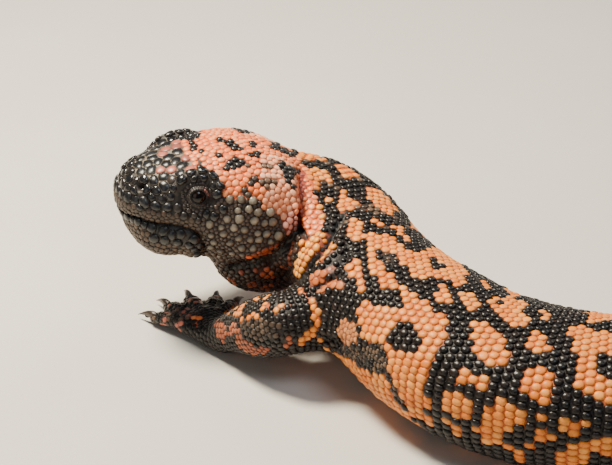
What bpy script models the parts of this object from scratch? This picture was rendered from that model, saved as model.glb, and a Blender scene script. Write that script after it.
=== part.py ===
# A gila monster as a life-size still model, walking with its head raised and turned to its left.
# The whole animal is shaped as one body, and thin cuts part it into head, neck, trunk, tail and legs.
# It stands on the floor at Z = 0 and faces -X, and its left side is at -Y.
import math

import bmesh
import bpy
from mathutils import Matrix, Vector

MM = 0.001
UP = Vector((0, 0, 1))

# How finely the body is made, in millimetres and triangles
RING_POINTS = 40
RING_STEP = 3.0
TAIL_END_PLACE = 330
HEAD_RING_STEP = 2.0
SNOUT_PLACE = 48
CLAY_VOXEL = 1.1
SOFTENING_ROUNDS = 5
SOFTENING = 0.5
BALL_SEGMENTS = 28
SMALL_BALL_SEGMENTS = 16
BODY_TRIANGLES = 3700
CUT_WIDTH = 0.4
CUT_SEGMENTS = 32
MERGE_DISTANCE = 0.001
FLOOR_BLOCK_SIZE = 1000

# Along the spine, in millimetres behind the skull: heading off -X in degrees, height of the axis,
# half width, rise to the back, drop to the belly
SPINE = (
    (-8, -38, 38.0, 18.0, 13.5, 17.5),
    (0, -28, 37.0, 19.0, 14.5, 21.0),
    (11, 9, 33.7, 20.0, 15.0, 24.0),
    (24, 40, 30.6, 20.5, 15.5, 24.0),
    (38, 42, 28.2, 22.0, 16.5, 21.5),
    (54, 29, 25.5, 24.0, 17.6, 20.0),
    (80, 20, 22.8, 27.0, 18.7, 22.0),
    (120, -10, 20.6, 28.5, 19.6, 21.6),
    (165, -33, 20.7, 27.5, 19.0, 21.7),
    (198, -29, 20.0, 23.5, 17.5, 20.2),
    (222, -22, 19.3, 19.5, 16.0, 18.6),
    (240, -16, 18.3, 17.5, 15.0, 17.2),
    (265, -2, 16.4, 17.0, 14.2, 16.2),
    (290, 14, 14.4, 16.0, 13.5, 14.9),
    (315, 33, 11.5, 13.5, 11.0, 12.2),
    (338, 50, 8.4, 10.0, 8.0, 9.2),
    (354, 60, 5.4, 6.0, 4.8, 6.2),
    (364, 65, 3.2, 2.6, 2.4, 3.4),
)
SPINE_ORIGIN = 130
SPINE_SQUARENESS = 2.35

# The head, in millimetres ahead of the skull's back: half width, rise to the crown, drop to the chin
HEAD_HEADING, HEAD_PITCH = -46.0, 12.0
HEAD = (
    (-8, 18.0, 13.0, 13.5),
    (0, 20.5, 14.5, 15.0),
    (8, 24.0, 18.3, 17.0),
    (16, 25.5, 20.0, 18.0),
    (24, 24.5, 20.3, 18.0),
    (32, 21.5, 18.7, 17.5),
    (38, 19.5, 16.5, 17.0),
    (44, 17.0, 14.5, 16.8),
    (50, 13.8, 12.0, 14.6),
    (55, 9.8, 9.2, 11.4),
    (58.5, 5.0, 5.2, 6.6),
)
HEAD_SQUARENESS = 2.4

# Swellings of the head, both sides alike: ahead, aside and above, then the three half sizes
SWELLINGS = {
    "jowl": (15, 13.5, -2.5, 15, 13, 14),
    "brow": (36, 12.5, 11.5, 8, 4.5, 4.5),
    "lower_lip": (41, 10.5, -10, 12, 6, 4),
    "upper_lip": (45, 10.5, -3, 9, 4.5, 3.5),
}
THROAT = (8, -7.5, -17, 17.5, 12.5, 13)

EYE = (37, 15.8, 7.8)
EYE_RADIUS = 3.0
EYE_GAP = 0.3

# The mouth line seen from the side, ahead and above, then its cut down behind the lower jaw
MOUTH = ((66, -3.0), (57, -4.2), (50, -6.0), (43, -7.2), (36, -8.0), (31, -9.6), (27.5, -14.0), (25, -26.0))
MOUTH_HALF_WIDTH = 26

# Where each leg leaves the spine: distance along it, and the joint's place aside and above the axis
FORE_ROOT = (50, 12, -3.5)
HIND_ROOT = (221, 9, -1.0)

# Leg joints in the floor's frame, each as X, Y and height
LEGS = {
    "left_fore": {"elbow": (-95.5, -8.5, 20.5), "wrist": (-119.5, -4.8, 8.0), "heading": 30},
    "right_fore": {"elbow": (-72.0, 50.0, 10.2), "wrist": (-90.5, 67.5, 7.4), "heading": 22},
    "left_hind": {"elbow": (109.5, 13.0, 17.0), "wrist": (132.0, 14.0, 8.0), "heading": -80},
    "right_hind": {"elbow": (48.5, 67.5, 17.0), "wrist": (25.5, 76.0, 8.0), "heading": 12},
}
FORE_RADII = {"root": 12.0, "upper": 11.2, "elbow": 10.4, "lower": 10.6, "wrist": 6.4}
HIND_RADII = {"root": 13.0, "upper": 12.2, "elbow": 10.2, "lower": 9.8, "wrist": 7.0}
LIMB_SQUARENESS = 2.1
WRIST_SWELL, HEEL_SHRINK = 1.2, 0.4

# Each foot: palm length, half width and half thickness, then its digits from the inner side out,
# each as fan angle, length and place of the knuckle across the palm
FORE_PALM = (16.0, 8.4, 5.0)
FORE_DIGITS = ((56, 12.5, 0.75), (36, 15.0, 0.45), (15, 16.5, 0.05), (-4, 16.5, -0.4), (-22, 15.0, -0.8))
HIND_PALM = (17.0, 8.6, 5.0)
HIND_DIGITS = ((48, 12.5, 0.8), (24, 16.0, 0.5), (6, 18.5, 0.1), (-14, 19.0, -0.35), (-48, 14.0, -0.85))
# The palm's shape from heel to knuckles: place as a share of its length plus millimetres, then shares
# of its full half width and half thickness
PALM_STATIONS = (
    (0, -3.5, 0.55, 0.7),
    (0, 1, 0.78, 0.95),
    (0.55, 0, 1.0, 1.0),
    (1, 0, 0.92, 0.86),
    (1, 3, 0.6, 0.6),
)
PALM_SINK = 0.8
HEEL = (1.5, 0.6)
KNUCKLE_CURVE, KNUCKLE_SPREAD, KNUCKLE_DROP, KNUCKLE_SUNK = 0.22, 0.8, 0.6, 5
DIGIT_RADIUS, DIGIT_TIP_RADIUS, DIGIT_THINNING = 3.2, 2.8, 0.95
DIGIT_ARCH, DIGIT_ARCH_PLACE, DIGIT_FLAT = 0.5, 0.45, 0.5
CLAW_LENGTH, CLAW_RADIUS, CLAW_TIP_RADIUS = 6.5, 1.5, 0.35
CLAW_SIDES, CLAW_STEPS = 5, 4
CLAW_SUNK, CLAW_RAISED, CLAW_ARCH, CLAW_DROOP, CLAW_SLOPE = 1.2, 0.9, 0.5, 1.3, 0.4
CLAW_THINNESS, CLAW_TAPER = 0.8, 1.1

# Cuts across the spine: distance along it, radius, turn off square in degrees, and shift aside
SPINE_CUTS = (
    (3, 31.0, 0, 0),
    (23, 25.8, -10, -3.0),
    (98, 33.0, 0, 0),
    (180, 31.0, 0, 0),
    (252, 20.5, 0, 0),
    (287, 19.5, 0, 0),
    (324, 15.0, 0, 0),
)
# Where the cut at each leg's root lies: place along the spine, clearance off the flank, and how far
# it turns from facing the flank to facing along the bone
LEG_EXITS = {
    "left_fore": (50, 0.3, 0.7),
    "right_fore": (47, 1.8, 0.3),
    "left_hind": (226, 2.2, 0.7),
    "right_hind": (204, 2.0, 0.0),
}
ROOT_CUT_MARGIN = 5.2
BEND_SHIFT = 4.5
ANKLE_SHIFT = 0.5
LIMB_CUT_MARGIN = 3.2

# Where the pieces lie, by which each one is named: in the head's frame, then along the spine
HEAD_PIECES = {"head": (28, 0, 4), "lower_jaw": (42, 0, -12)}
SPINE_PIECES = {
    "neck": 17,
    "chest": 66,
    "trunk": 139,
    "pelvis": 214,
    "tail_base": 267,
    "tail_middle": 305,
    "tail_tip": 342,
}
LOWER_LEG_MIDDLE = 0.6

SKIN_COLOURS = {
    "head": (0.10, 0.055, 0.045),
    "lower_jaw": (0.03, 0.025, 0.025),
    "neck": (0.60, 0.26, 0.14),
    "chest": (0.66, 0.30, 0.16),
    "trunk": (0.62, 0.28, 0.15),
    "pelvis": (0.58, 0.26, 0.14),
    "tail_base": (0.10, 0.06, 0.05),
    "tail_middle": (0.62, 0.29, 0.16),
    "tail_tip": (0.09, 0.055, 0.045),
    "upper_arm": (0.55, 0.25, 0.14),
    "forearm": (0.16, 0.09, 0.07),
    "hand": (0.06, 0.05, 0.05),
    "thigh": (0.50, 0.23, 0.13),
    "shin": (0.18, 0.10, 0.07),
    "foot": (0.06, 0.05, 0.05),
}
EYE_COLOUR = (0.012, 0.008, 0.006)
SKIN_ROUGHNESS, EYE_ROUGHNESS = 0.45, 0.06


def clearScene():
    for item in list(bpy.data.objects):
        bpy.data.objects.remove(item, do_unlink=True)


def newCollection(name):
    collection = bpy.data.collections.new(name)
    bpy.context.scene.collection.children.link(collection)
    return collection


def readTable(table, place):
    """The columns of a table at one place, on smooth curves that never overshoot its rows."""
    count = len(table)
    low = 0
    while low < count - 2 and place > table[low + 1][0]:
        low += 1
    start, end = table[low][0], table[low + 1][0]
    width = end - start
    t = min(max((place - start) / width, 0.0), 1.0)
    values = []
    for column in range(1, len(table[0])):
        slopes = []
        for row in (low, low + 1):
            before = max(row - 1, 0)
            after = min(row + 1, count - 1)
            left = slopeBetween(table, before, row, column)
            right = slopeBetween(table, row, after, column)
            if before == row:
                slopes.append(right)
            elif after == row:
                slopes.append(left)
            else:
                slopes.append((left + right) / 2 if left * right > 0 else 0.0)
        a, b = table[low][column], table[low + 1][column]
        values.append(
            (2 * t**3 - 3 * t**2 + 1) * a
            + (t**3 - 2 * t**2 + t) * width * slopes[0]
            + (-2 * t**3 + 3 * t**2) * b
            + (t**3 - t**2) * width * slopes[1]
        )
    return values


def slopeBetween(table, first, second, column):
    if first == second:
        return 0.0
    return (table[second][column] - table[first][column]) / (table[second][0] - table[first][0])


def makeFrame(origin, forward, up=UP):
    """A frame whose first axis runs forward, the second to the animal's right, the third up."""
    forward = forward.normalized()
    right = forward.cross(up).normalized()
    top = right.cross(forward).normalized()
    frame = Matrix((forward, right, top)).transposed().to_4x4()
    frame.translation = origin
    return frame


def headingDirection(degrees):
    angle = math.radians(degrees)
    return Vector((-math.cos(angle), math.sin(angle), 0))


def walkSpine():
    """The axis of the body, one point a millimetre, with the origin above the belly's rest."""
    first, last = SPINE[0][0], SPINE[-1][0]
    point = Vector((0, 0, 0))
    points = []
    for place in range(first, last + 1):
        points.append(point.copy())
        point = point - headingDirection(readTable(SPINE, place)[0])
    origin = points[SPINE_ORIGIN - first].copy()
    return [p - origin for p in points]


SPINE_POINTS = walkSpine()


def spineFrame(place):
    heading, height = readTable(SPINE, place)[:2]
    position = min(max(place - SPINE[0][0], 0.0), len(SPINE_POINTS) - 1.001)
    low = int(position)
    point = SPINE_POINTS[low].lerp(SPINE_POINTS[low + 1], position - low)
    return makeFrame(Vector((point.x, point.y, height)), headingDirection(heading))


def headFrame():
    flat = headingDirection(HEAD_HEADING)
    pitch = math.radians(HEAD_PITCH)
    return makeFrame(spineFrame(0).translation, flat * math.cos(pitch) + UP * math.sin(pitch))


def ringPoints(frame, halfWidth, rise, drop, squareness):
    """A squared oval across a frame's first axis."""
    points = []
    for index in range(RING_POINTS):
        angle = 2 * math.pi * index / RING_POINTS
        c, s = math.cos(angle), math.sin(angle)
        reach = (abs(c) ** squareness + abs(s) ** squareness) ** (-1 / squareness)
        height = rise if s > 0 else drop
        points.append(frame @ Vector((0, halfWidth * reach * c, height * reach * s)))
    return points


def loft(name, rings, collection):
    """A closed body through rings of equal count, each end closed by a fan."""
    shape = bmesh.new()
    loops = [[shape.verts.new(point * MM) for point in ring] for ring in rings]
    for first, second in zip(loops, loops[1:]):
        for index in range(len(first)):
            after = (index + 1) % len(first)
            shape.faces.new((first[index], first[after], second[after], second[index]))
    for loop in (loops[0], loops[-1]):
        middle = sum((v.co for v in loop), Vector()) / len(loop)
        centre = shape.verts.new(middle)
        for index in range(len(loop)):
            shape.faces.new((loop[index], loop[(index + 1) % len(loop)], centre))
    return toObject(name, shape, collection)


def toObject(name, shape, collection):
    bmesh.ops.recalc_face_normals(shape, faces=shape.faces)
    mesh = bpy.data.meshes.new(name)
    shape.to_mesh(mesh)
    shape.free()
    item = bpy.data.objects.new(name, mesh)
    collection.objects.link(item)
    return item


def ball(name, frame, sizes, collection, segments=BALL_SEGMENTS):
    """An oval swelling: its centre and its half sizes are given in the frame's own axes."""
    shape = bmesh.new()
    bmesh.ops.create_uvsphere(shape, u_segments=segments, v_segments=segments // 2, radius=1)
    centre, radii = Vector(sizes[:3]), sizes[3:]
    for vert in shape.verts:
        local = Vector((vert.co.x * radii[0], vert.co.y * radii[1], vert.co.z * radii[2]))
        vert.co = (frame @ (centre + local)) * MM
    return toObject(name, shape, collection)


def tubeThrough(name, points, sizes, collection, flat=UP):
    """A round or oval tube through points, with a half width and a half thickness at each."""
    rings = []
    for index, point in enumerate(points):
        before = points[max(index - 1, 0)]
        after = points[min(index + 1, len(points) - 1)]
        frame = makeFrame(point, after - before, flat)
        halfWidth, halfThickness = sizes[index]
        rings.append(ringPoints(frame, halfWidth, halfThickness, halfThickness, LIMB_SQUARENESS))
    return loft(name, rings, collection)


def legJoints(leg):
    """Root, elbow or knee, and wrist or ankle of one leg."""
    place, aside, above = FORE_ROOT if "fore" in leg else HIND_ROOT
    side = -1 if "left" in leg else 1
    root = spineFrame(place) @ Vector((0, side * aside, above))
    return root, Vector(LEGS[leg]["elbow"]), Vector(LEGS[leg]["wrist"])


def footFrame(leg):
    """The foot's frame on the floor under the wrist, looking along the middle digit."""
    wrist = Vector(LEGS[leg]["wrist"])
    return makeFrame(Vector((wrist.x, wrist.y, 0)), headingDirection(LEGS[leg]["heading"]))


def digitPoints(leg, digit):
    """Knuckle, arch and tip of one digit, with the side of the claw beyond it."""
    palm = FORE_PALM if "fore" in leg else HIND_PALM
    side = 1 if "left" in leg else -1
    fan, length, across = digit
    frame = footFrame(leg)
    ahead = palm[0] * (1 - KNUCKLE_CURVE * abs(across))
    knuckle = Vector((ahead, side * across * palm[1] * KNUCKLE_SPREAD, palm[2] - KNUCKLE_DROP))
    angle = math.radians(fan)
    along = Vector((math.cos(angle), side * math.sin(angle), 0))
    back = knuckle - along * KNUCKLE_SUNK
    arch = knuckle + along * length * DIGIT_ARCH_PLACE + UP * DIGIT_ARCH
    tip = knuckle + along * length
    tip.z = DIGIT_TIP_RADIUS - DIGIT_FLAT
    return [frame @ p for p in (back, knuckle, arch, tip)], (frame.to_3x3() @ along)


def buildLeg(leg, collection):
    r = FORE_RADII if "fore" in leg else HIND_RADII
    palm = FORE_PALM if "fore" in leg else HIND_PALM
    digits = FORE_DIGITS if "fore" in leg else HIND_DIGITS
    root, elbow, wrist = legJoints(leg)
    frame = footFrame(leg)
    tubeThrough(leg + "_upper", [root, root.lerp(elbow, 0.5), elbow],
                [(r["root"],) * 2, (r["upper"],) * 2, (r["elbow"],) * 2], collection)
    ball(leg + "_elbow", Matrix.Translation(elbow), (0, 0, 0) + (r["elbow"],) * 3, collection)
    heel = frame @ Vector((HEEL[0], 0, palm[2] + HEEL[1]))
    tubeThrough(leg + "_lower", [elbow, elbow.lerp(wrist, 0.4), elbow.lerp(wrist, 0.8), wrist, heel],
                [(r["elbow"],) * 2, (r["lower"],) * 2, (r["wrist"] + WRIST_SWELL,) * 2, (r["wrist"],) * 2,
                 (r["wrist"] - HEEL_SHRINK, palm[2])], collection)
    points, sizes = [], []
    for share, beyond, width, thickness in PALM_STATIONS:
        points.append(frame @ Vector((palm[0] * share + beyond, 0, palm[2] - PALM_SINK)))
        sizes.append((palm[1] * width, palm[2] * thickness))
    tubeThrough(leg + "_palm", points, sizes, collection)
    full, end = DIGIT_RADIUS, DIGIT_TIP_RADIUS
    for index, digit in enumerate(digits):
        path = digitPoints(leg, digit)[0]
        name = f"{leg}_digit_{index + 1}"
        tubeThrough(name, path, [(full, full), (full, full), (full, full * DIGIT_THINNING), (end, end)], collection)
        ball(name + "_end", Matrix.Translation(path[-1]), (0, 0, 0, end, end, end), collection,
             SMALL_BALL_SEGMENTS)


def buildClaw(leg, digit, collection):
    """A curved claw that starts inside its digit's end and droops to just above the floor."""
    path, along = digitPoints(leg, digit)
    start = path[-1] - along * CLAW_SUNK + UP * CLAW_RAISED
    points, radii = [], []
    for step in range(CLAW_STEPS + 1):
        share = step / CLAW_STEPS
        drop = CLAW_DROOP * share**2 + CLAW_SLOPE * share
        rise = CLAW_ARCH * math.sin(math.pi * share) - drop
        points.append(start + along * (CLAW_LENGTH + CLAW_SUNK) * share + UP * rise)
        radii.append(CLAW_RADIUS + (CLAW_TIP_RADIUS - CLAW_RADIUS) * share**CLAW_TAPER)
    rings = []
    for index, point in enumerate(points):
        frame = makeFrame(point, points[min(index + 1, CLAW_STEPS)] - points[max(index - 1, 0)])
        ring = []
        for side in range(CLAW_SIDES):
            angle = math.tau * side / CLAW_SIDES
            across = radii[index] * CLAW_THINNESS * math.cos(angle)
            ring.append(frame @ Vector((0, across, radii[index] * math.sin(angle))))
        rings.append(ring)
    return loft("claw", rings, collection)


def buildBodyShapes(collection):
    stations = []
    place = SPINE[0][0]
    while place < SPINE[-1][0]:
        stations.append(place)
        place += RING_STEP if place < TAIL_END_PLACE else RING_STEP / 2
    rings = []
    for place in stations:
        halfWidth, rise, drop = readTable(SPINE, place)[2:]
        rings.append(ringPoints(spineFrame(place), halfWidth, rise, drop, SPINE_SQUARENESS))
    loft("body", rings, collection)
    head = headFrame()
    rings = []
    place = HEAD[0][0]
    while place <= HEAD[-1][0]:
        halfWidth, rise, drop = readTable(HEAD, place)
        frame = head.copy()
        frame.translation = head @ Vector((place, 0, 0))
        rings.append(ringPoints(frame, halfWidth, rise, drop, HEAD_SQUARENESS))
        place += HEAD_RING_STEP if place < SNOUT_PLACE else HEAD_RING_STEP / 2
    loft("skull", rings, collection)
    for side in (-1, 1):
        for name, sizes in SWELLINGS.items():
            ball(name, head, (sizes[0], side * sizes[1]) + sizes[2:], collection)
    ball("throat", head, THROAT, collection)
    for leg in LEGS:
        buildLeg(leg, collection)


def joinObjects(items):
    """One mesh of several bodies, which may still overlap."""
    shape = bmesh.new()
    for item in items:
        shape.from_mesh(item.data)
        bpy.data.objects.remove(item, do_unlink=True)
    return shape


def evaluatedMesh(item):
    """An object's mesh with its modifiers applied, after which the modifiers go."""
    bpy.context.view_layer.update()
    graph = bpy.context.evaluated_depsgraph_get()
    mesh = bpy.data.meshes.new_from_object(item.evaluated_get(graph))
    item.modifiers.clear()
    item.data = mesh
    return mesh


def softClay(collection):
    """The whole body as one closed surface, softened where shapes meet and brought to few faces."""
    buildBodyShapes(collection)
    clay = toObject("clay", joinObjects(list(collection.objects)), collection)
    remesh = clay.modifiers.new("OneSurface", "REMESH")
    remesh.mode = "VOXEL"
    remesh.voxel_size = CLAY_VOXEL * MM
    soften = clay.modifiers.new("Soften", "SMOOTH")
    soften.factor = SOFTENING
    soften.iterations = SOFTENING_ROUNDS
    mesh = evaluatedMesh(clay)
    triangles = sum(len(face.vertices) - 2 for face in mesh.polygons)
    fewer = clay.modifiers.new("Fewer", "DECIMATE")
    fewer.ratio = BODY_TRIANGLES / triangles
    evaluatedMesh(clay)
    return clay


def applyBoolean(item, cutter, operation):
    cut = item.modifiers.new(operation, "BOOLEAN")
    cut.operation = operation
    cut.solver = "EXACT"
    cut.object = cutter
    evaluatedMesh(item)


def disc(name, frame, radius, collection):
    """A thin round plate across a frame's first axis, as wide as the gap it cuts."""
    shape = bmesh.new()
    turn = Matrix.Rotation(math.pi / 2, 4, "Y")
    place = frame.copy()
    place.translation = frame.translation * MM
    bmesh.ops.create_cone(shape, cap_ends=True, segments=CUT_SEGMENTS, radius1=radius * MM,
                          radius2=radius * MM, depth=CUT_WIDTH * MM, matrix=place @ turn)
    return toObject(name, shape, collection)


def mouthSheet(collection):
    """A thin sheet along the mouth line and down behind the lower jaw, right across the head."""
    head = headFrame()
    shape = bmesh.new()
    rows = []
    for ahead, above in MOUTH:
        rows.append([shape.verts.new((head @ Vector((ahead, side * MOUTH_HALF_WIDTH, above))) * MM)
                     for side in (-1, 1)])
    for first, second in zip(rows, rows[1:]):
        shape.faces.new((first[0], first[1], second[1], second[0]))
    sheet = toObject("mouth_sheet", shape, collection)
    thick = sheet.modifiers.new("Thickness", "SOLIDIFY")
    thick.thickness = CUT_WIDTH * MM
    thick.offset = 0
    evaluatedMesh(sheet)
    return sheet


def floorBlock(collection):
    shape = bmesh.new()
    size = FLOOR_BLOCK_SIZE * MM
    bmesh.ops.create_cube(shape, size=size, matrix=Matrix.Translation((0, 0, -size / 2)))
    return toObject("floor_block", shape, collection)


def bendCut(name, point, before, after, radius, collection):
    """A disc through a bent joint, halfway between the two bones."""
    middle = (before + after).normalized()
    return disc(name, makeFrame(point, middle), radius / before.dot(middle) + LIMB_CUT_MARGIN, collection)


def limbCuts(collection):
    cutters = []
    for leg in LEGS:
        radii = FORE_RADII if "fore" in leg else HIND_RADII
        root, elbow, wrist = legJoints(leg)
        upper, lower = (elbow - root).normalized(), (wrist - elbow).normalized()
        place, clearance, turn = LEG_EXITS[leg]
        exitFrame = spineFrame(place)
        outward = exitFrame.to_3x3() @ Vector((0, -1 if "left" in leg else 1, 0))
        reach = readTable(SPINE, place)[2] + clearance - (root - exitFrame.translation).dot(outward)
        facing = (outward + upper * turn).normalized()
        cutters.append(disc(leg + "_root_cut", makeFrame(root + upper * reach / upper.dot(outward), facing),
                            radii["upper"] / upper.dot(facing) + ROOT_CUT_MARGIN, collection))
        bend = elbow + lower * BEND_SHIFT
        cutters.append(bendCut(leg + "_elbow_cut", bend, upper, lower, radii["elbow"], collection))
        foot = footFrame(leg).to_3x3() @ Vector((1, 0, 0))
        ankle = wrist + lower * ANKLE_SHIFT
        cutters.append(bendCut(leg + "_wrist_cut", ankle, lower, foot, radii["wrist"], collection))
    return cutters


def islands(mesh):
    """The separate closed bodies of a mesh, each as its own mesh data."""
    shape = bmesh.new()
    shape.from_mesh(mesh)
    bmesh.ops.remove_doubles(shape, verts=shape.verts, dist=MERGE_DISTANCE * MM)
    found = []
    seen = set()
    for seed in shape.faces:
        if seed in seen:
            continue
        group, stack = {seed}, [seed]
        while stack:
            face = stack.pop()
            for edge in face.edges:
                for other in edge.link_faces:
                    if other not in group:
                        group.add(other)
                        stack.append(other)
        seen |= group
        found.append(group)
    bodies = []
    for group in found:
        verts = {}
        part = bmesh.new()
        for face in sorted(group, key=lambda f: f.index):
            corners = []
            for vert in face.verts:
                if vert.index not in verts:
                    verts[vert.index] = part.verts.new(vert.co)
                corners.append(verts[vert.index])
            part.faces.new(corners)
        bodies.append(part)
    shape.free()
    return bodies


def nodePlaces():
    """A point well inside each piece, by the piece's name."""
    head = headFrame()
    places = {name: head @ Vector(place) for name, place in HEAD_PIECES.items()}
    for name, place in SPINE_PIECES.items():
        places[name] = spineFrame(place).translation
    for leg in LEGS:
        side = leg.split("_")[0]
        names = ("upper_arm", "forearm", "hand") if "fore" in leg else ("thigh", "shin", "foot")
        root, elbow, wrist = legJoints(leg)
        palm = FORE_PALM if "fore" in leg else HIND_PALM
        places[f"{side}_{names[0]}"] = elbow
        places[f"{side}_{names[1]}"] = elbow.lerp(wrist, LOWER_LEG_MIDDLE)
        places[f"{side}_{names[2]}"] = footFrame(leg) @ Vector((palm[0], 0, palm[2]))
    return {name: place * MM for name, place in places.items()}


def skinMaterial(name):
    short = name.replace("left_", "").replace("right_", "")
    return newMaterial("scaly_skin_" + name, SKIN_COLOURS[short], SKIN_ROUGHNESS)


def newMaterial(name, colour, roughness):
    material = bpy.data.materials.new(name)
    material.use_nodes = True
    shader = material.node_tree.nodes["Principled BSDF"]
    shader.inputs["Base Color"].default_value = (*colour, 1)
    shader.inputs["Roughness"].default_value = roughness
    shader.inputs["Metallic"].default_value = 0.0
    return material


def main():
    clearScene()
    parts = newCollection("Gila monster")
    cutters = newCollection("Cutters")
    body = softClay(cutters)
    head = headFrame()
    applyBoolean(body, floorBlock(cutters), "DIFFERENCE")
    for leg in LEGS:
        for digit in (FORE_DIGITS if "fore" in leg else HIND_DIGITS):
            applyBoolean(body, buildClaw(leg, digit, cutters), "UNION")
    for side in (-1, 1):
        centre = (EYE[0], side * EYE[1], EYE[2])
        socket = ball("socket", head, centre + (EYE_RADIUS + EYE_GAP,) * 3, cutters, SMALL_BALL_SEGMENTS)
        applyBoolean(body, socket, "DIFFERENCE")
    applyBoolean(body, mouthSheet(cutters), "DIFFERENCE")
    for place, radius, turn, aside in SPINE_CUTS:
        spine = spineFrame(place)
        centre = spine @ Vector((0, aside, 0))
        frame = makeFrame(centre, headingDirection(readTable(SPINE, place)[0] + turn))
        applyBoolean(body, disc("spine_cut", frame, radius, cutters), "DIFFERENCE")
    for cutter in limbCuts(cutters):
        applyBoolean(body, cutter, "DIFFERENCE")
    bodies = islands(body.data)
    places = nodePlaces()
    for part in bodies:
        centre = sum((v.co for v in part.verts), Vector()) / len(part.verts)
        name = min(places, key=lambda n: (places[n] - centre).length)
        if name in parts.objects:
            raise ValueError("two pieces fell to " + name)
        item = toObject(name, part, parts)
        item.data.materials.append(skinMaterial(name))
    for name, side in (("left_eye", -1), ("right_eye", 1)):
        centre = (EYE[0], side * EYE[1], EYE[2])
        eye = ball(name, head, centre + (EYE_RADIUS,) * 3, parts, SMALL_BALL_SEGMENTS)
        eye.data.shade_smooth()
        eye.data.materials.append(newMaterial(name, EYE_COLOUR, EYE_ROUGHNESS))
    for cutter in cutters.objects:
        cutter.hide_render = True
        cutter.display_type = "WIRE"
    if len(bodies) != len(places):
        raise ValueError(f"{len(bodies)} pieces where {len(places)} belong")


main()
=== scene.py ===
import itertools
import math

import bmesh
import bpy
import numpy as np
from mathutils import Matrix, Vector, noise
from mathutils.bvhtree import BVHTree
from mathutils.kdtree import KDTree


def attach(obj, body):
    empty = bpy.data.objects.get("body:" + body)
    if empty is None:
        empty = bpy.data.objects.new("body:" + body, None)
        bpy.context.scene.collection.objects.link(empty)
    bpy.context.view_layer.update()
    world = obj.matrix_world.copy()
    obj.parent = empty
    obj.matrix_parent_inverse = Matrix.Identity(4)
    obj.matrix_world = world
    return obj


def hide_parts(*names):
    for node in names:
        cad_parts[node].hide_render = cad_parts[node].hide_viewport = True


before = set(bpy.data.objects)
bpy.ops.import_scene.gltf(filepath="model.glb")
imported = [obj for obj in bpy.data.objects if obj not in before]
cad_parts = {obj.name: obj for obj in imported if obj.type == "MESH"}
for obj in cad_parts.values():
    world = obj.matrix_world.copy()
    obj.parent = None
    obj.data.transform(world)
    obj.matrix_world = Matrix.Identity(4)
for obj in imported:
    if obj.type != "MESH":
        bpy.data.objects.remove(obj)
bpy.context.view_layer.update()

mm = 0.001
chance = np.random.default_rng(11)

# The body's own measures in millimetres, the same as its solids were made from
spineTable = (  # behind the skull, heading off -X, height of the axis, half width, rise, drop
    (-8, -38, 38.0, 18.0, 13.5, 17.5), (0, -28, 37.0, 19.0, 14.5, 21.0),
    (11, 9, 33.7, 20.0, 15.0, 24.0), (24, 40, 30.6, 20.5, 15.5, 24.0),
    (38, 42, 28.2, 22.0, 16.5, 21.5), (54, 29, 25.5, 24.0, 17.6, 20.0),
    (80, 20, 22.8, 27.0, 18.7, 22.0), (120, -10, 20.6, 28.5, 19.6, 21.6),
    (165, -33, 20.7, 27.5, 19.0, 21.7), (198, -29, 20.0, 23.5, 17.5, 20.2),
    (222, -22, 19.3, 19.5, 16.0, 18.6), (240, -16, 18.3, 17.5, 15.0, 17.2),
    (265, -2, 16.4, 17.0, 14.2, 16.2), (290, 14, 14.4, 16.0, 13.5, 14.9),
    (315, 33, 11.5, 13.5, 11.0, 12.2), (338, 50, 8.4, 10.0, 8.0, 9.2),
    (354, 60, 5.4, 6.0, 4.8, 6.2), (364, 65, 3.2, 2.6, 2.4, 3.4),
)
spineOrigin = 130  # the place on the spine that stands at the middle of the scene
squareness = 2.35  # 2 would make the body's cross sections ovals, more makes them fuller
headPose = {"heading": -46.0, "pitch": 12.0, "length": 58.5}
legPlan = {  # root: place on the spine, aside and above; elbow and wrist in the scene; the foot's heading
    "left_fore": {
        "root": (50, -12, -3.5), "elbow": (-95.5, -8.5, 20.5), "wrist": (-119.5, -4.8, 8.0), "heading": 30},
    "right_fore": {
        "root": (50, 12, -3.5), "elbow": (-72.0, 50.0, 10.2), "wrist": (-90.5, 67.5, 7.4), "heading": 22},
    "left_hind": {
        "root": (221, -9, -1.0), "elbow": (109.5, 13.0, 17.0), "wrist": (132.0, 14.0, 8.0), "heading": -80},
    "right_hind": {
        "root": (221, 9, -1.0), "elbow": (48.5, 67.5, 17.0), "wrist": (25.5, 76.0, 8.0), "heading": 12},
}
legNames = list(legPlan)
legGirth = {  # radius at the root, the upper leg, the elbow, below it, and the wrist
    "fore": (12.0, 11.2, 10.4, 10.6, 6.4), "hind": (13.0, 12.2, 10.2, 9.8, 7.0),
}
palmSize = {"fore": (16.0, 8.4, 5.0), "hind": (17.0, 8.6, 5.0)}  # length, half width, height of its middle
digitPlan = {  # fan angle, length, place of the knuckle across the palm
    "fore": ((56, 12.5, 0.75), (36, 15.0, 0.45), (15, 16.5, 0.05), (-4, 16.5, -0.4), (-22, 15.0, -0.8)),
    "hind": ((48, 12.5, 0.8), (24, 16.0, 0.5), (6, 18.5, 0.1), (-14, 19.0, -0.35), (-48, 14.0, -0.85)),
}
digitEnd = 2.8  # radius of a digit's end
digitReach = 4.2  # what lies nearer to its line
handStart = 60.0  # how far down a leg the hand or foot begins
sides = {"left": -1, "right": 1}  # which way each side lies from the head's middle
eyePlace = (37.0, 15.8, 7.8)  # ahead, aside and up in the head's frame
eyeAim = (0.12, 1.0, 0.30)
eyeRadius = 3.0
eyeReach = 6.5  # how far from an eye's middle its lids are shaped
nostrilPlace = (53.0, 8.0, 6.3)
earPlan = {"place": (4.5, 3.5), "size": (1.15, 3.0), "lean": 0.12, "aside": 14.0}
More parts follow.
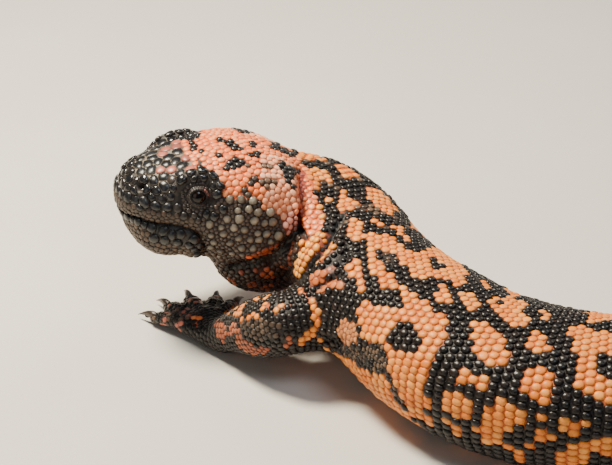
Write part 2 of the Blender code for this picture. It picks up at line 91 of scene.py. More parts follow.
mouthLine = (  # ahead and up of the mouth, from its corner to the snout
    (31.0, -11.5), (31.6, -9.8), (32.6, -7.6), (33.9, -5.6), (35.6, -4.2), (37.8, -3.2), (40.2, -2.8),
    (42.8, -2.9), (45.6, -3.2), (48.3, -3.6), (51.4, -3.9), (54.1, -4.2), (56.2, -5.0), (60, -5.4),
)
browRidge = (  # ahead, aside and up of the bony edge over the eye
    (43.5, 13.2, 8.5), (42.3, 13.4, 10.8), (40.4, 13.0, 12.6), (37.8, 13.0, 13.8), (35.0, 13.5, 14.1),
    (32.6, 14.8, 13.4), (31.2, 16.8, 11.6),
)


def linear(text):  # sRGB hex to linear
    channels = [int(text[k:k + 2], 16) / 255 for k in (1, 3, 5)]
    return np.array([c / 12.92 if c <= 0.04045 else ((c + 0.055) / 1.055) ** 2.4 for c in channels])


def unit(v):
    v = np.asarray(v, float)
    return v / np.maximum(np.linalg.norm(v, axis=-1, keepdims=True), 1e-9)


def lengthsAlong(line):  # distance from a line's first point to each of its points
    return np.concatenate([[0], np.cumsum(np.linalg.norm(np.diff(line, axis=0), axis=1))])


def pointsAlong(line, where):  # the points of a line at distances from its first point
    lengths = lengthsAlong(line)
    return np.stack([np.interp(where, lengths, column) for column in np.asarray(line, float).T], axis=-1)


def smoothLine(line, count):  # evenly spaced points along a line
    return pointsAlong(line, np.linspace(0, lengthsAlong(line)[-1], count))


def treeOf(points):  # finds the nearest of some points
    tree = KDTree(len(points))
    for index, point in enumerate(points):
        tree.insert(point, index)
    tree.balance()
    return tree


def readTable(table, place):  # smooth curve through a table's rows, the same as the solids use
    count = len(table)
    low = 0
    while low < count - 2 and place > table[low + 1][0]:
        low += 1
    width = table[low + 1][0] - table[low][0]
    t = min(max((place - table[low][0]) / width, 0.0), 1.0)
    rise = [[(b - a) / (two[0] - one[0]) for a, b in zip(one[1:], two[1:])]
            for one, two in zip(table, table[1:])]
    values = []
    for k in range(len(table[0]) - 1):
        slopes = []
        for row in (low, low + 1):
            left, right = rise[max(row - 1, 0)][k], rise[min(row, count - 2)][k]
            if row == 0 or row == count - 1:
                slopes.append(right if row == 0 else left)
            else:
                slopes.append((left + right) / 2 if left * right > 0 else 0.0)
        a, b = table[low][k + 1], table[low + 1][k + 1]
        values.append((2 * t**3 - 3 * t**2 + 1) * a + (t**3 - 2 * t**2 + t) * width * slopes[0]
                      + (3 * t**2 - 2 * t**3) * b + (t**3 - t**2) * width * slopes[1])
    return values


def heading(degrees):
    a = math.radians(degrees)
    return np.array((-math.cos(a), math.sin(a), 0.0))


# The spine sampled each millimetre
upward = np.array((0, 0, 1.0))
spineStart, spineEnd = spineTable[0][0], spineTable[-1][0]
spineRows = np.array([readTable(spineTable, s) for s in range(spineStart, spineEnd + 1)])
spineAhead = np.array([heading(h) for h in spineRows[:, 0]])
spineFlat = np.vstack([np.zeros(3), -np.cumsum(spineAhead, axis=0)[:-1]])
spinePoints = spineFlat - spineFlat[spineOrigin - spineStart]
spinePoints[:, 2] = spineRows[:, 1]
spineRight = np.cross(spineAhead, upward)


def spineAt(place):  # axis point, forward, right, then half width, rise and drop
    k = np.clip((np.asarray(place, float) - spineStart), 0, len(spineRows) - 1.001)
    low = k.astype(int)
    t = (k - low)[..., None]

    def mix(values):
        return values[low] * (1 - t) + values[low + 1] * t
    return mix(spinePoints), unit(mix(spineAhead)), unit(mix(spineRight)), mix(spineRows[:, 2:])


pitch = math.radians(headPose["pitch"])
headOrigin = spineAt(0.0)[0]
headAhead = heading(headPose["heading"]) * math.cos(pitch) + upward * math.sin(pitch)
headRight = unit(np.cross(headAhead, upward))
headTop = unit(np.cross(headRight, headAhead))
headAxes = np.array((headAhead, headRight, headTop))


def toHead(points):  # ahead, right and up in the head's own frame
    return (points - headOrigin) @ headAxes.T


def fromHead(points):
    return np.asarray(points, float) @ headAxes + headOrigin


def oneSide(head):  # places in the head's frame, with its two sides laid over each other
    return np.stack([head[:, 0], np.abs(head[:, 1]), head[:, 2]], axis=1)


def bothSides(place):  # a place on the head's right side, and its mirror on the left
    return {side: np.array(place) * (1, sign, 1) for side, sign in sides.items()}


eyes = {side: fromHead(place) for side, place in bothSides(eyePlace).items()}
eyeAxes = {side: unit(aim) @ headAxes for side, aim in bothSides(eyeAim).items()}


# The photo's camera: two angles, mm to the snout, pixels in a mm there, and two places in the picture
cameraPlan = {"azimuth": 28.0, "elevation": 30.0, "distance": 750.0, "scale": 3.21,
              "snoutPixel": (114, 192), "middlePixel": (306, 232.5)}


def fromPixels(pixels):  # mm right of and above the picture's middle, on a plane through the snout
    return (np.asarray(pixels, float) - cameraPlan["middlePixel"]) * (1, -1) / cameraPlan["scale"]


def corners(text):  # the points of an outline that is written as pairs of pixels
    return fromPixels([[float(v) for v in pair.split(",")] for pair in text.split()])


def cameraAxes():
    a, e = math.radians(cameraPlan["azimuth"]), math.radians(cameraPlan["elevation"])
    forward = np.array((-math.sin(a) * math.cos(e), math.cos(a) * math.cos(e), -math.sin(e)))
    right = np.array((math.cos(a), math.sin(a), 0.0))
    return forward, right, np.cross(right, forward)


viewForward, viewRight, viewUp = cameraAxes()
snoutAcross, snoutRise = fromPixels(cameraPlan["snoutPixel"])
cameraSpot = fromHead((headPose["length"], 0, 0)) - viewForward * cameraPlan["distance"]
cameraSpot = cameraSpot - viewRight * snoutAcross - viewUp * snoutRise
faceOutward = -viewForward


def legLine(leg):  # points and radii along a leg, from its root to its knuckles
    kind = leg.split("_")[1]
    plan = legPlan[leg]
    place, aside, above = plan["root"]
    origin, ahead, right, _ = spineAt(float(place))
    root = origin + right * aside + upward * above
    elbow, wrist = np.array(plan["elbow"]), np.array(plan["wrist"])
    toe = heading(plan["heading"])
    palm = palmSize[kind]
    foot = np.array((wrist[0], wrist[1], 0.0))
    girth = legGirth[kind]
    points = np.array([root, (root + elbow) / 2, elbow, elbow * 0.6 + wrist * 0.4,
                       elbow * 0.2 + wrist * 0.8, wrist, foot + toe * palm[0] * 0.5 + upward * palm[2],
                       foot + toe * palm[0] + upward * palm[2]])
    wristSwell, palmShare = 1.2, 0.85
    radii = np.array([*girth[:4], girth[4] + wristSwell, girth[4], palm[1] * palmShare, palm[1] * palmShare])
    return points, radii


def digitLine(leg, digit):  # the path of one digit, from inside the palm to its tip, and its direction
    kind = leg.split("_")[1]
    side = 1 if "left" in leg else -1
    plan, palm = legPlan[leg], palmSize[kind]
    fan, length, across = digit
    toe = heading(plan["heading"])
    right = np.cross(toe, upward)
    foot = np.array((plan["wrist"][0], plan["wrist"][1], 0.0))
    knuckle = foot + toe * palm[0] * (1 - 0.22 * abs(across)) + right * side * across * palm[1] * 0.8
    knuckle[2] = palm[2] - 0.6
    angle = math.radians(fan)
    along = toe * math.cos(angle) + right * side * math.sin(angle)
    arch = knuckle + along * length * 0.45 + upward * 0.5
    tip = knuckle + along * length
    tip[2] = digitEnd - 0.5
    return np.array([knuckle - along * 5, knuckle, arch, tip]), along


digits = {leg: [digitLine(leg, digit) for digit in digitPlan[leg.split("_")[1]]] for leg in legPlan}
legLines = {leg: legLine(leg) for leg in legPlan}


def distanceToLine(points, line):  # distance to a polyline, and the distance along it of the nearest point
    best = np.full(len(points), 1e9)
    along = np.zeros(len(points))
    total = 0.0
    for a, b in zip(line, line[1:]):
        span = b - a
        length = np.linalg.norm(span)
        t = np.clip(((points - a) @ span) / length**2, 0, 1)
        d = np.linalg.norm(points - (a + t[:, None] * span), axis=1)
        nearer = d < best
        best[nearer] = d[nearer]
        along[nearer] = (total + t * length)[nearer]
        total += length
    return best, along


def fuzz(points, size, seed=0.0):  # smooth noise from -1 to 1 with features about `size` millimetres across
    shift = Vector((seed * 17.3, seed * 5.1, seed * 9.7))
    return np.array([noise.noise(Vector(p) / size + shift) for p in points])


def headFloor(head):  # lowest height in the scene that still belongs to the head, above the left hand
    return np.interp(head[:, 0], [18, 28], [7.5, 16.0])


def nearestRow(points):  # the spine's row nearest to each point, in batches that spare the memory
    batch, step = 4000, 2
    rows = [np.argmin(((points[k:k + batch, None, :] - spinePoints[None, ::step, :]) ** 2).sum(2), axis=1)
            for k in range(0, len(points), batch)]
    return np.concatenate(rows) * step


def locate(points):  # where each point lies on the animal
    place = nearestRow(points).astype(float) + spineStart
    for _ in range(2):
        origin, ahead, right, sizes = spineAt(place)
        place = np.clip(place - np.sum((points - origin) * ahead, axis=1), spineStart, spineEnd)
    origin, ahead, right, sizes = spineAt(place)
    offset = points - origin
    aside = np.sum(offset * right, axis=1) / sizes[:, 0]
    above = offset[:, 2] / np.where(offset[:, 2] > 0, sizes[:, 1], sizes[:, 2])
    head = toHead(points)
    inHead = (head[:, 0] > -1.0) & (head[:, 2] > -32) & (np.abs(head[:, 1]) < 30)
    info = {
        "place": place,
        "turn": np.degrees(np.arctan2(above, aside)),  # 0 right, 90 back, 180 left, -90 belly
        "out": (np.abs(aside) ** squareness + np.abs(above) ** squareness) ** (1 / squareness),
        "head": head,
        "isHead": inHead & (points[:, 2] > headFloor(head)),
        "leg": np.full(len(points), -1),  # the leg's number, or -1 off the legs
        "down": np.zeros(len(points)),  # how far down the leg
        "digit": np.zeros(len(points), bool),
    }
    for index, leg in enumerate(legPlan):
        line, radii = legLines[leg]
        lengths = lengthsAlong(line)
        d, along = distanceToLine(points, line)
        radius = np.interp(along, lengths, radii)
        on = (d < radius * 1.3) & (info["out"] > 1.03) & ~info["isHead"]
        nearDigit = np.zeros(len(points), bool)
        for path, _ in digits[leg]:
            nearDigit |= distanceToLine(points, path[1:])[0] < digitReach
        on |= nearDigit & ~info["isHead"]
        info["leg"][on] = index
        info["down"][on] = along[on]
        info["digit"] |= nearDigit & (along > lengths[-1] - 3)
    return info


# Small tools for objects and meshes
def selectOnly(item):
    bpy.ops.object.select_all(action="DESELECT")
    item.select_set(True)
    bpy.context.view_layer.objects.active = item


def applyModifier(item, kind, **settings):
    modifier = item.modifiers.new(kind.title(), kind)
    for key, value in settings.items():
        setattr(modifier, key, value)
    selectOnly(item)
    bpy.ops.object.modifier_apply(modifier=modifier.name)


def readPoints(item):
    values = np.empty(len(item.data.vertices) * 3)
    item.data.vertices.foreach_get("co", values)
    return values.reshape(-1, 3) / mm


def writePoints(item, points):
    item.data.vertices.foreach_set("co", (points * mm).astype(np.float32).ravel())
    item.data.update()


def readNormals(item):
    values = np.empty(len(item.data.vertices) * 3)
    item.data.vertex_normals.foreach_get("vector", values)
    return values.reshape(-1, 3)


def readEdges(item):
    values = np.empty(len(item.data.edges) * 2, dtype=np.int32)
    item.data.edges.foreach_get("vertices", values)
    return values.reshape(-1, 2)


def soften(values, edges, rounds, weight=0.5):  # each value moves towards the middle of its neighbours'
    table = values.reshape(len(values), -1)
    count = len(table)
    share = np.broadcast_to(weight, count)[:, None]
    number = np.maximum(np.bincount(edges.ravel(), minlength=count), 1)
    for _ in range(rounds):
        middle = np.empty_like(table)
        for axis in range(table.shape[1]):
            middle[:, axis] = (np.bincount(edges[:, 0], table[edges[:, 1], axis], count)
                               + np.bincount(edges[:, 1], table[edges[:, 0], axis], count)) / number
        table = table + (middle - table) * share
    return table.reshape(values.shape)


def facesNear(item, places, reach):  # the faces within reach of any of the places
    middles = faceMiddles(item)
    return np.any([np.linalg.norm(middles - place, axis=1) < reach for place in places], axis=0)


def faceMiddles(item):
    values = np.empty(len(item.data.polygons) * 3)
    item.data.polygons.foreach_get("center", values)
    return values.reshape(-1, 3) / mm


def divideFaces(item, chosen):  # each chosen face becomes four
    selectOnly(item)
    bpy.ops.object.mode_set(mode="EDIT")
    bpy.ops.mesh.select_mode(type="FACE")
    bpy.ops.mesh.select_all(action="DESELECT")
    bpy.ops.object.mode_set(mode="OBJECT")
    item.data.polygons.foreach_set("select", chosen.astype(bool))
    bpy.ops.object.mode_set(mode="EDIT")
    bpy.ops.mesh.subdivide(number_cuts=1)
    bpy.ops.object.mode_set(mode="OBJECT")


def editAll(operator, **settings):  # runs an edit-mode operator on the whole active mesh
    bpy.ops.object.mode_set(mode="EDIT")
    bpy.ops.mesh.select_all(action="SELECT")
    operator(**settings)
    bpy.ops.object.mode_set(mode="OBJECT")


def joinPieces(pieces):
    bpy.ops.object.select_all(action="DESELECT")
    for piece in pieces:
        piece.select_set(True)
    bpy.context.view_layer.objects.active = pieces[0]
    bpy.ops.object.join()
    return bpy.context.object


def addColours(item, name, colours):  # a colour for each point of the mesh
    cover = np.concatenate([colours, np.ones((len(colours), 1))], axis=1)
    item.data.color_attributes.new(name, "FLOAT_COLOR", "POINT").data.foreach_set("color", cover.ravel())


# The skin
skinPlan = {
    "swell": 0.28,  # closes the thin gaps between the solids, mm
    "voxel": 1.45,  # size of a cell where the solids are joined, mm
    "softening": 26,  # rounds
    "coatDepth": 0.85,  # how far the skin lies inside the solids, mm
    "digitDepth": 0.35,
    "offFloor": 0.35,  # room for the scales under it, mm
    "weights": {"body": 0.5, "head": 0.34, "leg": 0.3, "foot": 0.14, "digit": 0.07},  # of the softening
    "lidRadius": 3.75,
    "opening": (49.0, 41.0),  # half angles of the eye opening, along and across, degrees
}
creases = {  # pixels along each fold as read off the photo, then depth and width in mm
    "behind_jowl": ("300,228 291,240 280,252 268,260 250,265 228,267", 2.6, 1.7),
    "head_groove": ("297,164 300,172 304,190 303,208 299,224 293,238", 1.4, 1.5),
    "neck_diagonal": ("346,213 340,222 331,238 322,252 312,265 303,278 297,288", 2.2, 1.2),
    "arm_wedge": ("345,274 332,278 320,286 312,294", 1.3, 1.1),
    "shoulder_crease": ("350,240 347,256 340,266 330,271", 1.3, 1.2),
    "axilla": ("322,340 333,339 341,341 336,350", 1.0, 1.0),
}
foldLines = {name: (corners(text), depth, width) for name, (text, depth, width) in creases.items()}
throatFolds = {  # place behind the skull and turn round the body
    "front": ((-3, 215), (1, 235), (4, 262), (1, 290), (-3, 315)),
    "rear": ((5, 220), (9, 242), (11, 266), (9, 290), (5, 312)),
}
throatFoldSize = (1.0, 1.4)  # depth and width
lidProfile = ((0, 2.45), (0.90, 2.5), (1.0, 3.12), (1.12, 3.5), (1.35, 3.6), (1.9, 3.45))  # share, mm out


def ringPoint(place, turn):  # a point of the body's outline at a place and a turn
    origin, _, right, sizes = spineAt(float(place))
    a = math.radians(turn)
    c, s = math.cos(a), math.sin(a)
    reach = (abs(c) ** squareness + abs(s) ** squareness) ** (-1 / squareness)
    return origin + right * sizes[0] * reach * c + upward * (sizes[1] if s > 0 else sizes[2]) * reach * s


def copyOfSolids():
    bpy.ops.object.select_all(action="DESELECT")
    copies = []
    for name in sorted(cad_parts):
        if "eye" in name:
            continue
        piece = bpy.data.objects.new("skin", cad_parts[name].data.copy())
        bpy.context.scene.collection.objects.link(piece)
        copies.append(piece)
    for side in eyes:  # balls that fill the eye sockets and swell into lids
        bpy.ops.mesh.primitive_uv_sphere_add(segments=32, ring_count=20, radius=skinPlan["lidRadius"] * mm,
                                             location=eyes[side] * mm)
        bpy.ops.object.transform_apply(location=True, rotation=True, scale=True)
        copies.append(bpy.context.object)
    skin = joinPieces(copies)
    editAll(bpy.ops.mesh.remove_doubles, threshold=0.000002)
    writePoints(skin, readPoints(skin) + readNormals(skin) * skinPlan["swell"])
    skin.name = skin.data.name = "skin"
    skin.data.materials.clear()
    return skin


def cleaveDigits(points, normals):  # slimmer digits with clefts between them
    push = np.zeros(len(points))
    for leg in legPlan:
        paths = [path for path, _ in digits[leg]]
        near = np.where(np.linalg.norm(points - paths[2][2], axis=1) < 30)[0]
        found = [distanceToLine(points[near], path[1:]) for path in paths]
        reach = np.array([d for d, along in found])
        order = np.sort(reach, axis=0)
        nearest = np.argmin(reach, axis=0)
        down = np.array([along for d, along in found])[nearest, np.arange(len(near))]
        pastKnuckle = np.clip((down - 1.5) / 4.0, 0, 1)
        cleft = np.exp(-((order[1] - order[0]) / 1.1) ** 2)
        push[near] -= np.where(order[0] < 4.6, cleft * pastKnuckle * 2.2 + 0.45 * pastKnuckle, 0)
    return points + normals * push[:, None]


def trimClaws(points):  # the claws are pieces of their own, so the skin ends in round digit ends
    for path, along in sum(digits.values(), []):
        away = points - path[-1]
        ahead = away @ along
        radial = np.linalg.norm(away - ahead[:, None] * along, axis=1)
        far = np.linalg.norm(away, axis=1)
        stray = (ahead > 0.4) & (ahead < 11) & (radial < 3.9) & (far > digitEnd + 0.1)
        points[stray] = path[-1] + unit(away[stray]) * digitEnd
    return points


def mouthHeight(ahead):
    return np.interp(ahead, [row[0] for row in mouthLine], [row[1] for row in mouthLine])


def drawn(points):  # where points show in the picture, in mm on the plane through the snout
    ray = points - cameraSpot
    nearer = cameraPlan["distance"] / (ray @ viewForward)
    return np.stack([ray @ viewRight * nearer, ray @ viewUp * nearer], axis=-1)


def distanceOnFace(points, line):
    flat = np.column_stack([drawn(points), np.zeros(len(points))])
    return distanceToLine(flat, np.column_stack([line, np.zeros(len(line))]))


def fold(distance, along, length, depth, width):  # a valley with raised banks that fades out at both ends
    fade = np.clip(np.minimum(along, length - along) / (length * 0.25), 0.0, 1.0) ** 0.7
    return -depth * fade * (np.exp(-(distance / width) ** 2)
                            - 0.4 * np.exp(-((distance - width * 2.1) / width) ** 2))


def pressFolds(points, normals):
    push = np.zeros(len(points))
    facing = np.clip((normals @ faceOutward) * 4 + 1, 0, 1)
    for line, depth, width in foldLines.values():
        d, along = distanceOnFace(points, line)
        push += fold(d, along, lengthsAlong(line)[-1], depth, width) * facing * (points[:, 2] > 12)
    for path in throatFolds.values():
        line = smoothLine([ringPoint(*q) for q in path], 24)
        d, along = distanceToLine(points, line)
        push += fold(d, along, lengthsAlong(line)[-1], *throatFoldSize)
    return points + normals * push[:, None]


def hill(distance, width, power=2):  # 1 at no distance, and smoothly down to 0
    return np.exp(-(distance / width) ** power)


def earShare(side):  # distance from the ear's middle, with its rim at about 1
    lean = earPlan["lean"] * side[:, 2]
    ahead = (side[:, 0] - earPlan["place"][0] - lean) / earPlan["size"][0]
    return np.sqrt(ahead ** 2 + ((side[:, 2] - earPlan["place"][1]) / earPlan["size"][1]) ** 2)


def shapeHead(points, normals):  # mouth line, brows, nostrils, ears and chin
    head = toHead(points)
    side = oneSide(head)
    ahead, above = head[:, 0], head[:, 2]
    isHead = (ahead > -4) & (above > -26) & (side[:, 1] < 30)
    push = np.zeros(len(points))
    lip = distanceToLine(side[:, [0, 2, 2]] * (1, 1, 0), np.array([(a, b, 0) for a, b in mouthLine]))[0]
    lip = np.where(above > mouthHeight(ahead), lip, -lip)
    fade = np.clip((ahead - 29) / 4, 0, 1)
    lips = -1.5 * hill(lip, 0.62)
    lips += np.interp(ahead, [45, 53], [0.9, 0.0]) * hill(lip + 3.4, 2.2) * (lip < 0)
    lips += 0.55 * hill(lip - 3.8, 1.7)
    push += np.where(isHead & (ahead > 28), lips * fade, 0)
    ridge = distanceToLine(side, np.array(browRidge))[0]
    push += np.where(isHead, 1.35 * hill(ridge, 1.7), 0)
    nostril = np.linalg.norm(side - nostrilPlace, axis=1)
    push -= 2.4 * hill(nostril, 1.15) - 0.45 * hill(nostril - 2.1, 0.7)
    ear = earShare(side)
    nearEar = isHead & (side[:, 1] > earPlan["aside"])
    push -= np.where(nearEar, 2.6 * hill(ear, 0.85, 4) - 0.8 * hill(ear - 1.5, 0.5), 0)
    below = mouthHeight(ahead) - above
    deeper = 2.3 * hill(ahead - 44, 8.5) * np.clip((below - 2.5) / 4, 0, 1)  # the chin's fullness
    back = 1.5 * np.clip((ahead - 49) / 7, 0, 1) * np.clip(below / 2, 0, 1)  # the jaw ends behind the snout
    shift = np.where(isHead & (ahead > 29), 1.0, 0.0)[:, None]
    return points + normals * push[:, None] - shift * (headTop * deeper[:, None] + headAhead * back[:, None])


def lidAxes(side):  # the eye's axis, and the ways to its top and to its front
    axis = eyeAxes[side]
    lift = unit(headTop - axis * (headTop @ axis))
    return axis, lift, unit(np.cross(lift, axis))


def eyeAngles(points, side):  # distance, and angle off the axis, with the opening's rim at 1
    axis, lift, front = lidAxes(side)
    away = points - eyes[side]
    wide, tall = skinPlan["opening"]
    across = np.degrees(np.arctan2(np.hypot(away @ front, away @ lift), away @ axis))
    around = np.arctan2(away @ lift, away @ front)
    reach = 1 / np.sqrt((np.cos(around) / wide) ** 2 + (np.sin(around) / tall) ** 2)
    return np.linalg.norm(away, axis=1), across / reach


def openEyes(points):
    widest = lidProfile[-1][0]
    for side in eyes:
        far, share = eyeAngles(points, side)
        target = np.interp(share, *zip(*lidProfile))
        pull = (far < eyeReach) & (share < widest)
        blend = np.clip((widest - share) / 0.6, 0, 1)
        moved = eyes[side] + unit(points - eyes[side]) * target[:, None]
        points = np.where(pull[:, None], points + (moved - points) * blend[:, None], points)
    return points


def dropIslands(piece):  # the remesh leaves crumbs of the claws; only the largest surface stays
    edges = readEdges(piece)
    label = np.arange(len(piece.data.vertices))
    while True:
        least = np.minimum(label[edges[:, 0]], label[edges[:, 1]])
        fresh = label.copy()
        np.minimum.at(fresh, edges[:, 0], least)
        np.minimum.at(fresh, edges[:, 1], least)
        fresh = fresh[fresh]
        if (fresh == label).all():
            break
        label = fresh
    loose = np.where(label != np.bincount(label).argmax())[0]
    mesh = bmesh.new()
    mesh.from_mesh(piece.data)
    mesh.verts.ensure_lookup_table()
    bmesh.ops.delete(mesh, geom=[mesh.verts[k] for k in loose], context="VERTS")
    mesh.to_mesh(piece.data)
    mesh.free()
    print("skin: loose points dropped", len(loose))


def skinWeights(points, info):  # how strongly each part is softened: less on the head, hands and digits
    shares = skinPlan["weights"]
    weight = np.full(len(points), shares["body"])
    weight[info["isHead"]] = shares["head"]
    weight[info["leg"] >= 0] = shares["leg"]
    weight[info["footward"]] = shares["foot"]
    weight[info["digit"]] = shares["digit"]
    return weight


def skinDepths(points, info):  # how far the skin sinks into the solids to leave room for its scales
    depth = np.full(len(points), skinPlan["swell"] * 0.4 + skinPlan["coatDepth"])
    depth[info["footward"]] = skinPlan["digitDepth"] + 0.15
    depth[info["digit"]] = skinPlan["digitDepth"]
    elbow = np.array(legPlan["right_fore"]["elbow"])  # keeps low behind the back
    far = np.linalg.norm(points - elbow - (0, 0, 7), axis=1)
    return depth + np.where(info["leg"] == legNames.index("right_fore"), 3.6 * hill(far, 13.0), 0)


def makeSkin():
    skin = copyOfSolids()
    print("skin: solids copied", len(skin.data.polygons))
    applyModifier(skin, "REMESH", mode="VOXEL", voxel_size=skinPlan["voxel"] * mm)
    dropIslands(skin)
    points, edges = trimClaws(readPoints(skin)), readEdges(skin)
    info = locate(points)
    info["footward"] = (info["leg"] >= 0) & (info["down"] > handStart + 2)
    points = soften(points, edges, skinPlan["softening"], soften(skinWeights(points, info), edges, 6))
    writePoints(skin, points)
    depth = soften(skinDepths(points, info), edges, 8)
    normals = unit(soften(readNormals(skin), edges, 3))
    points = points - normals * depth[:, None]
    points[:, 2] = np.maximum(points[:, 2], skinPlan["offFloor"])
    writePoints(skin, points)

    divideFaces(skin, facesNear(skin, [digits[leg][2][0][1] for leg in legPlan], 24))
    points = soften(readPoints(skin), readEdges(skin), 2, 0.3)
    writePoints(skin, points)
    writePoints(skin, cleaveDigits(points, readNormals(skin)))

    head = toHead(faceMiddles(skin))
    divideFaces(skin, (head[:, 0] > -6) & (head[:, 2] > -23) & (np.abs(head[:, 1]) < 29))
    divideFaces(skin, facesNear(skin, eyes.values(), 6.0))
    points = readPoints(skin)
    points = soften(points, readEdges(skin), 3, np.where(toHead(points)[:, 0] > -6, 0.5, 0.25))
    writePoints(skin, points)
    points = pressFolds(points, readNormals(skin))
    writePoints(skin, points)
    writePoints(skin, openEyes(shapeHead(points, readNormals(skin))))
    applyModifier(skin, "TRIANGULATE")
    skin.data.polygons.foreach_set("use_smooth", np.ones(len(skin.data.polygons), bool))
    print("skin:", len(skin.data.vertices), "points,", len(skin.data.polygons), "triangles")
    return skin


skin = makeSkin()
skinPoints = readPoints(skin)
skinNormals = readNormals(skin)
skinInfo = locate(skinPoints)
faceCorners = np.empty(len(skin.data.polygons) * 3, dtype=np.int32)
skin.data.polygons.foreach_get("vertices", faceCorners)
skinTree = BVHTree.FromPolygons(skinPoints.tolist(), faceCorners.reshape(-1, 3).tolist(), all_triangles=True)
pointTree = treeOf(skinPoints)

